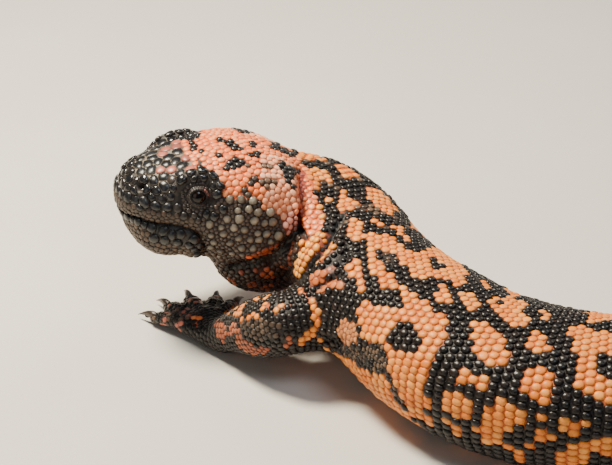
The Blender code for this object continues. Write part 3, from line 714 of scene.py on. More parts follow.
marks = {  # tone, name and outline of each marking, in pixels as read off the photo
    "body": (
        ("coral", "nape_edge",
         "296,148 306,150 318,153 323,157 325,161 317,160.5 307,160 300,160 296,158"),
        ("coral", "nape_side",
         "302,163 308,168 318,168 322,167 325,171 330,175 332,181 331,185 326,184 322,180 320,178 320,190 "
         "314,192 309,194 305,198 301,200 298,194 300,180 299,170"),
        ("coral", "nape_top", "333,167 338,164 347,167 353,171 357,176 352,180 348,180 343,176 338,170"),
        ("coral", "neck_upper",
         "337,192 340,188 344,189 347,195 352,199 356,199 359,203 358,207 352,210 348,216 344,218 340,215 "
         "339,208 338,200"),
        ("coral", "neck_crest",
         "366,195 368,186 374,187 383,192 390,201 396,208 397,212 392,216 386,215 380,210 374,207 370,202 "
         "366,197"),
        ("coral", "fleck_one", "366,208 369,207 370,211 368,214 366,212"),
        ("coral", "neck_patch",
         "347,222 352,217 357,216 360,219 363,222 362,228 365,234 372,233 372,240 364,241 358,242 350,240 "
         "348,236 350,232 346,227"),
        ("coral", "shoulder_band",
         "364,234 375,233 384,235 392,238 400,245 408,251 416,254 423,254 427,247 434,247 442,251 452,256 "
         "460,261 464,268 467,276 466,284 460,287 454,284 448,280 443,278 436,279 428,276 421,279 414,279 "
         "409,273 405,267 401,259 396,254 388,251 380,249 377,255 370,256 368,245"),
        ("ink", "band_spot", "427,259 431,258 438,262 445,264 450,266 446,269 440,271 434,269 430,264"),
        ("coral", "falling_band",
         "368,244 377,250 378,258 383,266 387,273 395,279 403,287 410,290 417,297 421,301 430,302 435,309 "
         "440,313 447,314 448,324 420,322 412,318 404,311 403,305 401,298 397,291 391,288 384,288 378,283 "
         "375,276 372,268 370,258"),
        ("coral", "flank_triangle",
         "356,312 361,305 366,300 372,300 378,305 386,306 392,310 400,312 408,312 418,312 430,308 440,312 "
         "447,314 448,326 446,336 442,345 438,352 436,360 432,366 430,374 426,382 424,389 426,396 429,402 "
         "427,410 429,418 433,426 428,424 420,420 412,415 404,404 398,392 393,380 390,372 389,364 387,355 "
         "385,346 382,340 375,339 370,343 365,342 362,334 360,325 358,318"),
        ("ink", "triangle_spot",
         "388,328 392,326 398,327 402,322 408,320 414,322 418,327 422,334 423,339 419,345 416,350 412,355 "
         "406,355 400,353 394,349 390,343 388,336"),
        ("coral", "belly_edge",
         "320,346 330,349 342,357 352,360 360,366 368,371 376,374 384,374 388,380 392,390 398,402 404,408 "
         "412,417 420,424 430,432 438,439 438,442 428,438 416,430 408,424 400,414 388,406 380,400 370,392 "
         "362,384 350,376 340,366 330,360 322,354"),
        ("smoke", "armpit_grain",
         "371,341 376,339 382,342 385,350 387,358 388,366 386,370 380,373 374,374 368,371 362,366 358,360 "
         "360,352 362,346 366,344"),
        ("smoke", "armpit_tail",
         "385,370 390,374 394,380 398,390 403,402 402,408 397,402 392,392 388,384"),
        ("smoke", "armpit_wrinkles", "340,346 350,345 360,350 360,358 352,360 344,357"),
        ("bare", "armpit_skin",
         "335,330 340,323 346,318 352,320 358,326 359,334 359,346 352,345 345,344 341,338"),
        ("ink", "armpit_fold", "326,341 333,337 340,337 342,343 336,352 331,346"),
        ("coral", "shoulder_fleck",
         "352,257 356,258 358,264 361,270 364,276 366,284 364,292 361,294 358,288 354,282 350,276 347,270 "
         "345,268 350,264"),
        ("fold", "upper_fold",
         "305,288 308,280 314,274 322,270 330,268 336,264 334,270 327,277 320,283 312,290"),
        ("fold", "lower_fold", "313,291 320,284 328,279 336,279 343,281 345,285 340,289 330,290 320,292"),
        ("amber", "neck_side",
         "296,238 300,232 306,238 312,236 318,233 326,231 329,235 327,241 323,248 319,255 315,262 309,270 "
         "303,276 299,278 294,272 292,266 297,258 300,248"),
        ("amber", "neck_flecks",
         "306,204 311,202 314,207 318,203 321,203 323,210 327,214 325,219 322,221 318,216 317,210 312,212 "
         "307,210"),
        ("amber", "ear_fleck", "298,222 303,219 307,224 307,230 302,233 298,231"),
        ("coral", "neck_dot", "325,198 329,195 332,199 328,203"),
        ("amber", "neck_dot_low", "332,225 337,223 340,227 336,231 333,230"),
        ("coral", "throat_dot_one", "280,246 286,243 287,249 282,251"),
        ("coral", "throat_dot_two", "281,261 286,261 286,268 281,267"),
        ("coral", "throat_dot_three", "273,273 278,267 283,271 286,275 281,277 276,276"),
        ("amber", "crease_strip",
         "334,236 335,243 333,250 328,255 322,262 318,264 317,260 321,254 326,246 331,238"),
        ("coral", "crest_fleck", "372,218 376,218 381,224 382,227 378,228 374,223"),
        ("coral", "crest_strip",
         "389,223 392,223 395,228 400,227 404,229 406,234 409,239 410,243 406,242 401,237 397,233 393,229 "
         "390,226"),
        ("coral", "crest_edge",
         "408,220 413,223 419,228 424,232 428,236 428,241 424,238 418,233 412,228 409,223"),
        ("smoke", "band_grain", "381,252 389,254 397,257 400,262 396,267 388,266 382,260"),
        ("coral", "back_one", "437,296 438,289 442,286 446,288 449,294 453,299 451,302 444,302 438,301"),
        ("coral", "back_two",
         "459,294 466,294 473,296 478,300 482,304 480,310 476,313 471,309 466,303 462,298"),
        ("coral", "back_dot", "475,272 480,270 483,275 480,278"),
        ("coral", "back_three", "481,282 486,281 491,286 489,289 484,288"),
        ("coral", "back_edge", "501,283 505,280 509,284 514,290 520,293 523,297 517,299 511,295 506,291"),
        ("coral", "back_four",
         "488,302 492,300 492,295 499,297 506,296 512,298 520,301 525,302 527,307 524,312 528,318 527,326 "
         "521,325 514,328 508,322 502,318 498,311 493,305"),
        ("ink", "back_four_spot", "496,300 500,298 504,301 502,304 497,304"),
        ("coral", "back_five", "539,321 540,313 544,310 549,314 554,319 553,322 546,323"),
        ("coral", "back_six",
         "523,339 526,336 528,331 533,329 536,333 542,334 547,338 550,343 554,347 553,351 546,350 541,353 "
         "536,350 530,346 525,343"),
        ("coral", "flank_oval",
         "467,337 470,329 470,323 475,322 481,321 488,326 494,330 500,333 504,339 507,347 511,354 511,359 "
         "505,364 500,366 493,366 487,365 481,360 476,355 472,349 470,342"),
        ("coral", "flank_rosette",
         "518,388 520,383 520,374 524,370 531,368 538,367 545,369 551,370 554,376 557,382 556,388 554,394 "
         "554,400 552,403 545,402 540,404 534,401 528,397 522,393"),
        ("coral", "flank_branch",
         "452,380 457,376 457,370 460,366 464,369 468,374 472,375 477,374 482,376 487,381 489,386 485,390 "
         "478,388 472,385 468,384 462,381 460,385 455,386"),
        ("coral", "low_star",
         "443,396 448,394 455,393 460,392 466,397 470,403 474,409 471,413 466,417 462,421 457,418 454,413 "
         "449,415 443,413 446,406"),
        ("coral", "low_large",
         "475,430 480,424 482,417 487,410 490,405 495,401 498,398 503,402 508,404 515,406 523,406 525,412 "
         "526,419 530,424 527,428 520,426 513,427 506,432 505,438 507,442 502,443 495,444 487,445 481,443 "
         "478,436"),
        ("coral", "hip_large",
         "566,332 570,327 577,326 590,328 602,331 616,333 640,345 650,370 640,395 616,404 604,406 597,402 "
         "588,397 580,393 576,388 577,380 577,370 575,362 575,352 575,340 568,336"),
        ("ink", "hip_spot", "593,361 598,355 606,353 614,356 618,365 614,376 604,377 597,374 595,367"),
        ("coral", "hip_crest", "585,314 592,311 600,313 607,312 616,313 620,319 606,320 597,322 590,322"),
        ("coral", "low_dot_one", "537,414 542,413 547,417 548,421 543,423 538,420"),
        ("coral", "low_row",
         "559,424 563,420 570,421 577,418 583,419 587,424 581,428 582,434 576,438 570,435 569,430 561,429"),
        ("coral", "low_dot_two", "540,432 546,429 552,433 553,437 546,438 542,436"),
        ("coral", "low_dot_three", "535,438 541,436 547,441 543,445 537,442"),
        ("coral", "low_dot_four", "528,444 534,441 539,446 537,451 530,449"),
        ("coral", "low_strip",
         "507,446 514,447 518,451 524,455 527,457 524,461 518,464 513,461 516,456 510,450"),
        ("coral", "low_back",
         "553,452 560,452 563,445 570,444 578,443 588,442 598,440 606,438 616,436 626,440 626,452 616,462 "
         "606,458 596,452 590,458 580,464 566,470 556,466"),
        ("coral", "low_fleck", "446,420 450,421 456,424 460,427 466,431 464,436 458,435 453,429 448,426"),
    ),
    "head": (
        ("jowl", "jowl",
         "212,192 221,193 229,198 240,200 256,199 262,202 265,211 273,213 280,216 281,224 286,231 284,238 "
         "277,244 268,250 255,254 240,256 225,258 210,256 198,250 190,245 196,238 204,236 205,228 200,222 "
         "205,214 214,210 217,200"),
        ("ink", "crown_edge", "231,129 238,128 246,129 252,132 252,135 244,134 236,131"),
        ("ink", "crown_long",
         "213,140 219,138.5 228,140.5 236,141.5 239,145 243,149 240,151.5 234,149.5 228,146.5 221,144 "
         "215,142.5"),
        ("ink", "crown_dot_one", "250.5,143 256,141.5 260,145 256,148.5 252,147.5"),
        ("ink", "crown_dot_two", "248.5,152 254,150.5 258,150.5 261,153 256,157.5 250,156.5"),
        ("ink", "crown_rear",
         "268,147 273,143 280,144 281,148 287,148.5 288,152 293,151.5 298,154 297.5,158.5 291,158.5 "
         "286,155 280,151.5 272,150.5"),
        ("ink", "crown_dot_three", "213.5,153 217,149.5 221.5,153 219,157 215,156.5"),
        ("ink", "crown_middle",
         "225,163 228,160 232,160 232,156 238,156 241,160 244,163 241,167 234,168 229,169 226,171 222,169"),
        ("smoke", "crown_grey_one", "241,162.5 248,163 254,165 250,167.5 242,167.5"),
        ("smoke", "crown_grey_two", "259,162 264,162 272,167 271.5,169.5 266,168.5 260,166.5"),
        ("smoke", "temple",
         "247,178 253,177 258,179 264,179 269,178 272,180 277,181 276,186 271,185 266,188 261,188 255,185 "
         "249,184"),
        ("ink", "neck_edge_band",
         "277,164 283,163 286,167 291,168 297,170 305,172 306,175 299,175 295,177 293,183 298,187 297,191 "
         "292,189 288,183 285,176 282,171 278,168"),
        ("ink", "nape_dot", "306,153 310,151.5 312.5,156 311,160 307,157"),
        ("smoke", "temple_gap", "239,187 245,184 249,188 251,193 249,197 243,196 241,191"),
        ("brow", "brow",
         "181,181 186,178 191,175 198,172 205,173 212,175 218,180 219,184 215,190 212,192 208,188 202,184 "
         "195,183 188,183 182,184"),
        ("brow", "far_brow",
         "166,142 174,137 183,131 192,130 199,130 202,134 199,139 190,141 180,142 170,143"),
        ("ink", "front_bar", "189,142 194,141.5 196.5,150 193,152.5 190,149"),
        ("ink", "front_bar_low", "196.5,158 202,157 203.5,165 200,169.5 196,168 198,162"),
        ("ink", "front_dot", "199.5,150.5 204,151.5 203.5,156.5 199,155.5"),
        ("salmon", "snout_plate_one", "155,150 160,147 167,149 168,155 162,156 157,154"),
        ("salmon", "snout_plate_two",
         "169,145 174,142 181,143 187,143 190,147 188,150 181,150 174,149 170,148"),
        ("salmon", "snout_plate_three",
         "168,156 174,155 180,156 185,152 190,153 195,156 194,160 188,163 181,163 175,160 170,158"),
        ("salmon", "snout_plate_four", "153.5,170 158,166.5 162.5,169 162,173.5 157,175"),
        ("salmon", "snout_plate_five", "162.5,170 168,166.5 173.5,170 171,174 166,174"),
        ("salmon", "snout_plate_six", "184,169 189,166 196,167 198,170 193,172 187,171"),
        ("salmon", "snout_plate_seven", "181,172 186,171 188,175 184,178"),
        ("groove", "groove",
         "298,172 303,172 306,182 305,195 303,206 303,215 300,224 297,218 299,205 298,190"),
        ("rust", "jowl_edge", "249,254 258,251 266,248 273,244 277,243 275,248 268,252 258,256 250,257"),
        ("rust", "throat_spot_one", "252,283 257,281 256,287 252,289"),
        ("rust", "throat_spot_two", "262,286 270,284 275,288 268,291 262,290"),
        ("rust", "throat_spot_three", "252,270 258,267 260,272 254,274"),
        ("earRim", "ear_rim", "282,222 286,219 288,212 293,209 296,216 297,224 295,231 289,235 283,230"),
    ),
    "arm": (
        ("coral", "cuff",
         "298,288 304,289 309,295 315,303 318,311 320,318 318,326 315,333 311,339 306,344 298,345 302,338 "
         "307,332 311,326 313,318 312,310 308,302 303,295"),
        ("coral", "sleeve",
         "318,296 325,296 330,302 334,310 334,320 334,330 330,338 324,342 318,341 322,334 324,326 323,318 "
         "324,310 323,303"),
        ("coral", "sleeve_join", "317,311 325,311 325,322 318,321"),
        ("coral", "upper_beads", "253,297 259,294 264,290 269,291 271,296 264,300 258,302 253,302"),
        ("coral", "middle_beads",
         "261,307 266,303 272,305 275,301 281,301 287,305 292,307 295,312 290,314 285,316 279,316 274,313 "
         "268,311 262,311"),
        ("coral", "elbow_bead_one", "288,300 293,301 295,305 290,306"),
        ("coral", "elbow_bead_two", "280,288 285,286 288,292 285,295 282,292"),
        ("coral", "wrist_beads",
         "225,310 229,306 236,306 240,303 245,302 246,306 249,307 255,311 258,309 262,312 260,317 253,318 "
         "251,321 246,323 240,322 238,316 232,315 228,318 225,315"),
        ("rust", "under_wrist",
         "217,320 222,321 226,328 226,333 229,329 234,323 237,327 233,333 228,337 224,338 226,344 221,342 "
         "217,336 214,328"),
        ("rust", "under_arm",
         "235,330 239,328 241,335 244,341 248,341 252,345 257,349 262,344 268,348 276,347 265,354 255,355 "
         "248,352 241,348 236,342"),
        ("rust", "under_elbow", "284,340 288,336 292,337 294,344 287,348 284,346"),
        ("smoke", "arm_grain", "241,322 262,319 275,320 284,322 282,332 270,340 255,341 246,338 242,330"),
        ("salmon", "hand_one", "152,297 157,295 160,302 160,308 155,306"),
        ("salmon", "hand_two", "186,316 190,315 200,316 200,319 190,320"),
        ("salmon", "hand_three", "193,322 198,321 200,325 196,328"),
    ),
}
outlines = {part: [(tone, title, corners(text)) for tone, title, text in rows]
            for part, rows in marks.items()}


def inside(spots, outline):  # spots inside an outline, by counting the edges they cross
    x, y = spots.T
    result = np.zeros(len(spots), bool)
    for (x1, y1), (x2, y2) in zip(outline, np.roll(outline, 1, axis=0)):
        crosses = (y1 > y) != (y2 > y)
        if y1 != y2:
            result ^= crosses & (x < (x2 - x1) * (y - y1) / (y2 - y1) + x1)
    return result


# Where the scales stand
rowCounts = (  # place behind the skull, and the number of scales in a row round the body from there on
    (-4, 52), (30, 54), (70, 58), (200, 54), (236, 46), (268, 40), (300, 34), (326, 26), (346, 16),
)
bodySpacing = (  # place behind the skull, and the distance between scales there
    (-3, 2.1), (24, 2.1), (45, 2.2), (60, 2.4), (80, 2.55), (120, 2.75), (165, 2.7), (200, 2.5), (240, 2.3),
    (290, 2.2), (320, 2.1), (345, 1.8), (364, 1.3),
)
legSpacing, handSpacing, digitSpacing = 1.85, 1.7, 1.6  # mm between scales
rowStep = 0.866  # rows of a honeycomb stand closer than the scales in them
gapWidth = 2.4  # size of a cell of the grid that finds free places
roomPlan = {  # share of the spacing that has to be free round a new scale; round a boss, mm
    "fixed": 0.5, "rows": 0.74, "gaps": (0.93, 0.84), "snout": 0.86, "boss": 1.6,
}
spreadPlan = {  # rounds; shares of the spacing that neighbours keep, and are pushed in a round
    "rounds": 7, "neighbours": 8, "renewEach": 3, "apart": 0.55, "push": 0.33,
}


def castFrom(origin, direction):
    hit = skinTree.ray_cast(Vector(origin), Vector(direction))
    return None if hit[0] is None else np.array(hit[0])


def ontoSkin(points):
    return np.array([skinTree.find_nearest(Vector(p))[0] for p in points])


def bodyRows():
    found = []
    place, row = -3.0, 0
    while place < spineEnd - 2:
        count = [n for start, n in rowCounts if place >= start][-1]
        origin = spineAt(place)[0]
        ring = np.array([ringPoint(place, t) for t in range(0, 360, 10)])
        around = np.linalg.norm(ring - np.roll(ring, 1, axis=0), axis=1).sum()
        for k in range(count):
            angle = 2 * math.pi * (k + 0.5 * (row % 2)) / count
            expected = ringPoint(place, math.degrees(angle)) - origin
            hit = castFrom(origin, unit(expected))
            if hit is not None and np.linalg.norm(hit - origin) < np.linalg.norm(expected) * 1.07 + 1.0:
                found.append(hit)
        place += around / count * rowStep
        row += 1
    return np.array(found)


def legRows(leg):
    line, radii = legLines[leg]
    lengths = lengthsAlong(line)
    found = []
    down, row = 8.0, 0
    while down < lengths[-1]:
        middle, ahead, behind = pointsAlong(line, (down, down + 3, down - 3))
        along = unit(ahead - behind)
        sideways = unit(np.cross(along, upward))
        top = np.cross(sideways, along)
        radius = np.interp(down, lengths, radii)
        size = legSpacing if down < handStart else handSpacing
        count = max(int(round(2 * math.pi * radius * 0.9 / size)), 8)
        for k in range(count):
            angle = 2 * math.pi * (k + 0.5 * (row % 2)) / count
            hit = castFrom(middle, sideways * math.cos(angle) + top * math.sin(angle))
            if hit is not None and np.linalg.norm(hit - middle) < radius * 1.25 + 0.8:
                found.append(hit)
        down += size * 0.87
        row += 1
    return np.array(found)


lipPlan = (  # rows of scales: mm above the mouth line, spacing, and how far ahead they begin and end
    (6.2, 2.8, 43, 60), (-1.4, 2.1, 48.5, 60), (-2.0, 3.1, 33.5, 49), (-4.9, 3.0, 33, 48),
)


def lipRow(above, spacing, first, last):  # points in a row round the snout, above or below the mouth line
    return np.vstack([lipSide(above, spacing, first, last, sign) for sign in sides.values()])


def lipSide(above, spacing, first, last, sign):
    rim = []
    middle = 40.0  # ahead on the head's axis, where the rays start
    for degrees in np.arange(0, 124.1, 1.5):
        a = math.radians(degrees) * sign
        out = np.array((math.cos(a), math.sin(a), 0))
        base = np.array((middle, 0.0, mouthHeight(middle) + above))
        for _ in range(2):
            hit = castFrom(fromHead(base), out @ headAxes)
            if hit is None:
                break
            place = toHead(hit[None])[0]
            base[2] = mouthHeight(place[0]) + above
        if hit is not None and first < place[0] < last:
            rim.append(hit)
    row = smoothLine(rim, int(lengthsAlong(rim)[-1] / spacing))
    shift = np.gradient(row, axis=0) * chance.uniform(-0.16, 0.16, len(row))[:, None]
    shift += headTop * chance.uniform(-0.28, 0.28, len(row))[:, None]
    return ontoSkin(row + shift)


def isJowl(points):  # inside the jowl's outline, on either side of the head
    y = toHead(points)[:, 1]
    near = points - 2 * np.maximum(y, 0)[:, None] * headRight
    outline = [line for tone, title, line in outlines["head"] if title == "jowl"][0]
    return inside(drawn(near), outline) & (np.abs(y) > 9)


def jowlBosses():  # the bony bosses of the cheek, in loose rows
    found = []
    for row in range(-5, 6):
        for column in range(-5, 6):
            ahead = 19 + column * 3.55 + 1.78 * (row % 2) + chance.uniform(-0.8, 0.8)
            above = 0.5 + row * 3.05 + chance.uniform(-0.7, 0.7)
            for sign in sides.values():
                hit = castFrom(fromHead((ahead, 0, above)), headRight * sign)
                if hit is not None:
                    found.append(hit)
    found = np.array(found)
    return found[isJowl(found)]


def browPlates():  # two rows of plates along the bony edge over each eye
    found = []
    for sign in sides.values():
        for lift, spacing in ((0.0, 2.75), (2.4, 2.7)):
            line = np.array(browRidge) * (1, sign, 1)
            line = line * (1, 1 - lift * 0.085, 1) + (0, 0, lift * 0.35)
            found.append(ontoSkin(fromHead(smoothLine(line, int(lengthsAlong(line)[-1] / spacing)))))
    return np.vstack(found)


def lidRows():  # rings of small scales round each eye
    found = []
    wide, tall = skinPlan["opening"]
    for side in eyes:
        axis, lift, front = lidAxes(side)
        for share, count, turn in ((1.24, 20, 0), (1.50, 24, 0.5), (1.78, 26, 0.5)):
            for k in range(count):
                a = 2 * math.pi * (k + turn) / count
                reach = math.radians(share / math.hypot(math.cos(a) / wide, math.sin(a) / tall))
                way = axis * math.cos(reach) + (front * math.cos(a) + lift * math.sin(a)) * math.sin(reach)
                hit = castFrom(eyes[side], way)
                if hit is not None and np.linalg.norm(hit - eyes[side]) < 6:
                    found.append(hit)
    return np.array(found)


lipGaps = (  # mm above the mouth line, and the size of scale there
    (-7.6, 1.6), (-6.6, 1.7), (-6.3, 3.0), (-0.6, 3.1), (-0.2, 1.4), (4.2, 1.5), (4.7, 2.8), (8.0, 2.9),
)
browSpacing = 2.6


def bossDistance(points):
    return np.array([bossTree.find(Vector(p))[2] for p in points])


def headSpacing(points, info):
    side = oneSide(info["head"])
    f, z = side[:, 0], side[:, 2]
    size = np.full(len(points), 1.95)
    size = np.where((f > 38) & (z > -3), np.interp(z, [0, 9], [2.5, 3.1]), size)
    jowl = info["isHead"] & isJowl(points)
    size = np.where(jowl, 1.25, size)
    isBoss = bossDistance(points[jowl]) < 0.6
    size[np.where(jowl)[0][isBoss]] = np.interp(z[jowl][isBoss], [-9, 2], [2.4, 3.2])
    ridge = distanceToLine(side, np.array(browRidge))[0]
    size = np.where((ridge < 2.4) & info["isHead"], browSpacing, size)
    size = np.where((z < -11) & (f < 34), 1.75, size)
    gap = z - mouthHeight(f)
    nearLips = (f > 33) & (gap < 8.0) & (z < 6) & ((gap < 4.2) | (f > 43))
    size = np.where(nearLips, np.interp(gap, *zip(*lipGaps)), size)
    return np.where((f > 49) & (gap < -0.2), np.where(gap > -2.5, 2.1, 1.6), size)


def spacingOf(points, info):  # distance between neighbouring scales, mm
    leg = info["leg"] >= 0
    spacing = np.interp(info["place"], *zip(*bodySpacing))
    spacing = np.where(leg, np.where(info["down"] < handStart, legSpacing, handSpacing), spacing)
    spacing = np.where(info["digit"], digitSpacing, spacing)
    spots = drawn(points)
    for tone, title, line in outlines["body"]:
        if tone in ("smoke", "bare"):  # soft skin behind the arm, with the smallest beads
            spacing = np.where(inside(spots, line) & ~leg & (points[:, 1] < 20), 1.45, spacing)
    spacing = np.where(info["isHead"], headSpacing(points, info), spacing)
    for side in eyes:
        d = np.linalg.norm(points - eyes[side], axis=1)
        lid = (d < 5.6) & (spacing != browSpacing)
        spacing = np.where(lid, np.interp(d, [3.4, 4.6, 5.6], [0.9, 1.05, 1.6]), spacing)
    offLegs = ~leg & ~info["digit"] & ((info["turn"] > 60) | (info["turn"] < -80))
    for line, depth, width in foldLines.values():
        d = distanceOnFace(points, line)[0]
        smaller = np.minimum(spacing, np.where(d < width * 0.5, 1.35, 1.7))
        spacing = np.where((d < width * 1.2) & offLegs, smaller, spacing)
    return spacing


def isOpening(points, info):  # no scale grows in an eye opening, a nostril, an ear or the mouth line
    side = oneSide(info["head"])
    ahead, above = side[:, 0], side[:, 2]
    closed = np.linalg.norm(side - nostrilPlace, axis=1) < 1.25
    closed |= info["isHead"] & (side[:, 1] > earPlan["aside"]) & (earShare(side) < 1.05)
    closed |= info["isHead"] & (ahead > 33) & (np.abs(above - mouthHeight(ahead)) < 0.6)
    for name in eyes:
        far, share = eyeAngles(points, name)
        closed |= (far < eyeReach) & (share < 1.13)
    return closed


class SpaceGrid:  # finds taken places near a point
    def __init__(self, size):
        self.size = size
        self.cells = {}
        self.places = []

    def cellOf(self, point):
        return tuple((point // self.size).astype(int))

    def add(self, point):
        self.cells.setdefault(self.cellOf(point), []).append(len(self.places))
        self.places.append(point)

    def isFree(self, point, reach):
        spans = [range(a, b + 1) for a, b in zip(self.cellOf(point - reach), self.cellOf(point + reach))]
        for cell in itertools.product(*spans):
            for index in self.cells.get(cell, ()):
                if ((point - self.places[index]) ** 2).sum() < reach * reach:
                    return False
        return True


bosses = jowlBosses()
bossTree = treeOf(bosses)
print("jowl bosses:", len(bosses))


def placeScales():
    fixed = [lipRow(*row) for row in lipPlan] + [bosses, browPlates(), lidRows()]
    fixedCount = sum(len(p) for p in fixed)
    regular = [bodyRows()] + [legRows(leg) for leg in legPlan]
    points = np.vstack(fixed + regular)
    info = locate(points)
    spacing = spacingOf(points, info)
    free = ~isOpening(points, info)
    free[fixedCount:] &= ~info["isHead"][fixedCount:]
    grid = SpaceGrid(gapWidth)
    kept = []
    for index in np.where(free)[0]:
        reach = spacing[index] * roomPlan["fixed" if index < fixedCount else "rows"]
        if grid.isFree(points[index], reach):
            grid.add(points[index])
            kept.append(index)
    fixedKept = sum(1 for index in kept if index < fixedCount)
    rows = list(points[kept])
    print("scales: regular rows", len(rows))
    spare = spacingOf(skinPoints, skinInfo)
    order = chance.permutation(len(skinPoints))
    closed = isOpening(skinPoints, skinInfo) | (bossDistance(skinPoints) < roomPlan["boss"])
    for reach in roomPlan["gaps"]:
        for index in order:
            if not closed[index] and grid.isFree(skinPoints[index], spare[index] * reach):
                grid.add(skinPoints[index])
                rows.append(skinPoints[index])
    print("scales: with gaps filled", len(rows))
    return np.array(rows), fixedKept


def neighboursOf(points, count):
    tree = treeOf(points)
    near = np.zeros((len(points), count), dtype=np.int32)
    for index, point in enumerate(points):
        found = tree.find_n(point, count + 1)
        near[index] = [f[1] for f in found if f[1] != index][:count]
    return near


def spreadScales(points, fixedCount):  # neighbours push each other apart until the rows are even
    for step in range(spreadPlan["rounds"]):
        if step % spreadPlan["renewEach"] == 0:
            near = neighboursOf(points, spreadPlan["neighbours"])
            spacing = spacingOf(points, locate(points))
        away = points[:, None, :] - points[near]
        distance = np.linalg.norm(away, axis=2)
        wanted = (spacing[:, None] + spacing[near]) * spreadPlan["apart"]
        strength = np.clip(1 - distance / wanted, 0, 1)
        push = (away / distance[..., None] * strength[..., None]).sum(1)
        push *= spacing[:, None] * spreadPlan["push"]
        push[:fixedCount] = 0
        points = ontoSkin(points + push)
    return points


def fillSnout(points):  # more scales where the spread ones leave skin bare between the snout's plates
    grid = SpaceGrid(gapWidth)
    for point in points:
        grid.add(point)
    spare = spacingOf(skinPoints, skinInfo)
    added = []
    onSnout = skinInfo["isHead"] & (skinInfo["head"][:, 0] > 35)
    for index in np.where(onSnout & ~isOpening(skinPoints, skinInfo))[0]:
        if grid.isFree(skinPoints[index], spare[index] * roomPlan["snout"]):
            grid.add(skinPoints[index])
            added.append(skinPoints[index])
    print("scales: added to the snout", len(added))
    return np.vstack([points] + [added] * (len(added) > 0))


scalePoints = fillSnout(spreadScales(*placeScales()))
scalePoints = scalePoints[~isOpening(scalePoints, locate(scalePoints))]
scaleInfo = locate(scalePoints)
scaleSpacing = spacingOf(scalePoints, scaleInfo)
scaleNormals = unit(np.array([skinNormals[[f[1] for f in pointTree.find_n(Vector(p), 4)]].sum(0)
                              for p in scalePoints]))
print("scales:", len(scalePoints))

# Kinds of scale: colour, colour it varies to, colour of its rim, roughness, height and width, roundness
tones = {
    "ink": ("#0a0807", "#1f1510", "#150c08", 0.34, 0.58, 0.93, 1.0),  # black beads, shiny and round
    "coral": ("#e07a20", "#ee9a40", "#b25218", 0.46, 0.36, 1.0, 0.4),  # orange-pink beads that touch
    "salmon": ("#ea7430", "#f3965e", "#cc5a2c", 0.40, 0.36, 1.0, 0.8),  # the crown, fused and low
    "pink": ("#c9705a", "#8a4a40", "#5c4a40", 0.36, 0.27, 1.0, 0.6),  # the few pale plates of the snout
    "blush": ("#ea9468", "#f2b08a", "#c06c48", 0.40, 0.34, 1.0, 0.8),  # paler pink at the back of the head
    "amber": ("#ee8c20", "#f9b04c", "#8a3a12", 0.38, 0.52, 0.96, 0.8),  # orange beads of the neck
    "snout": ("#0a0b0e", "#191a1d", "#7c7163", 0.30, 0.22, 1.05, 0.3),  # black plates with pale lines between
    "muzzle": ("#131417", "#241f1c", "#2f2925", 0.18, 0.32, 0.98, 0.6),
    "cheek": ("#231d1a", "#3a302a", "#17110f", 0.30, 0.45, 0.93, 0.8),  # brown black, below the eye
    "lip": ("#090a0d", "#131519", "#2b2724", 0.32, 0.46, 0.98, 0.9),  # black scales along both lips
    "gum": ("#36261a", "#4c3827", "#22170f", 0.48, 0.22, 1.0, 0.5),  # the smooth brown band over the mouth
    "chin": ("#402d1e", "#5a402a", "#1f150d", 0.50, 0.28, 0.98, 0.6),  # brown, dull scales of the lower jaw
    "jowl": ("#857b6a", "#62574a", "#34271f", 0.27, 0.52, 0.94, 0.8),  # grey-olive bosses
    "jowlSkin": ("#3d2f27", "#58463a", "#241914", 0.34, 0.40, 0.96, 0.6),  # small scales between the bosses
    "throat": ("#2e221b", "#53392a", "#1a120e", 0.40, 0.42, 0.93, 0.7),  # dark pouch under the jaw
    "rust": ("#964427", "#b8663c", "#3c1d13", 0.40, 0.42, 0.93, 0.7),  # patches of the throat
    "lid": ("#2a211c", "#41352e", "#16100d", 0.32, 0.42, 0.94, 0.7),  # small scales round the eye
    "lidRim": ("#201612", "#32251f", "#120c0a", 0.62, 0.16, 0.98, 0.5),  # the dark edge of the lids
    "lidPink": ("#a8695c", "#80483f", "#3a231e", 0.42, 0.24, 0.98, 0.6),  # the lids' rear corner
    "brow": ("#101013", "#1c1a19", "#2c2622", 0.22, 0.40, 0.98, 0.8),  # plates over the eye
    "bare": ("#c27640", "#d08a54", "#8e5230", 0.48, 0.26, 0.98, 0.5),  # soft skin behind the arm
    "smoke": ("#231b17", "#6b5340", "#1a120e", 0.34, 0.46, 0.94, 0.8),  # pepper of brown and black
    "earRim": ("#d98a76", "#e9a896", "#7a3a30", 0.34, 0.45, 0.97, 0.8),  # pale edge of the ear
    "fold": ("#bf6630", "#cb7740", "#96451f", 0.42, 0.14, 1.0, 0.3),  # smooth folds above the arm
    "cleft": ("#150c09", "#20130e", "#0a0605", 0.5, 0.12, 1.0, 0.3),  # painted shade: the dark bottom of a deep fold
    "groove": ("#b4472e", "#c45c40", "#842b1c", 0.42, 0.16, 1.0, 0.3),  # bottom of the fold behind the head
}
toneNames = list(tones)
toneNumber = {name: k for k, name in enumerate(toneNames)}
paintedTopHighlights = {"jowl": 1.8, "smoke": 1.3, "throat": 1.25, "snout": 1.3}  # painted highlight: how much paler the top of a scale is
plateTops = {"snout": 0.86, "muzzle": 0.8, "brow": 0.78, "lip": 0.74}  # share of the width that is flat
lipBands = (  # tone, first and last mm ahead, lowest and highest mm above the mouth line
    ("chin", 27, 90, -90, -0.3), ("lip", 33, 49.3, -6.4, -0.3), ("lip", 49, 90, -2.4, -0.3),
    ("gum", 33.5, 90, -0.3, 4.4), ("lip", 43, 90, 4.4, 7.8),
)
bandPlan = {  # mm along the spine: lengths of the bands, where the tail's begin, where drawn marks end
    "body": 38.0, "tail": 33.0, "tailMiddle": 252, "tailFrom": 235, "blend": 20, "drawnTo": 148,
}
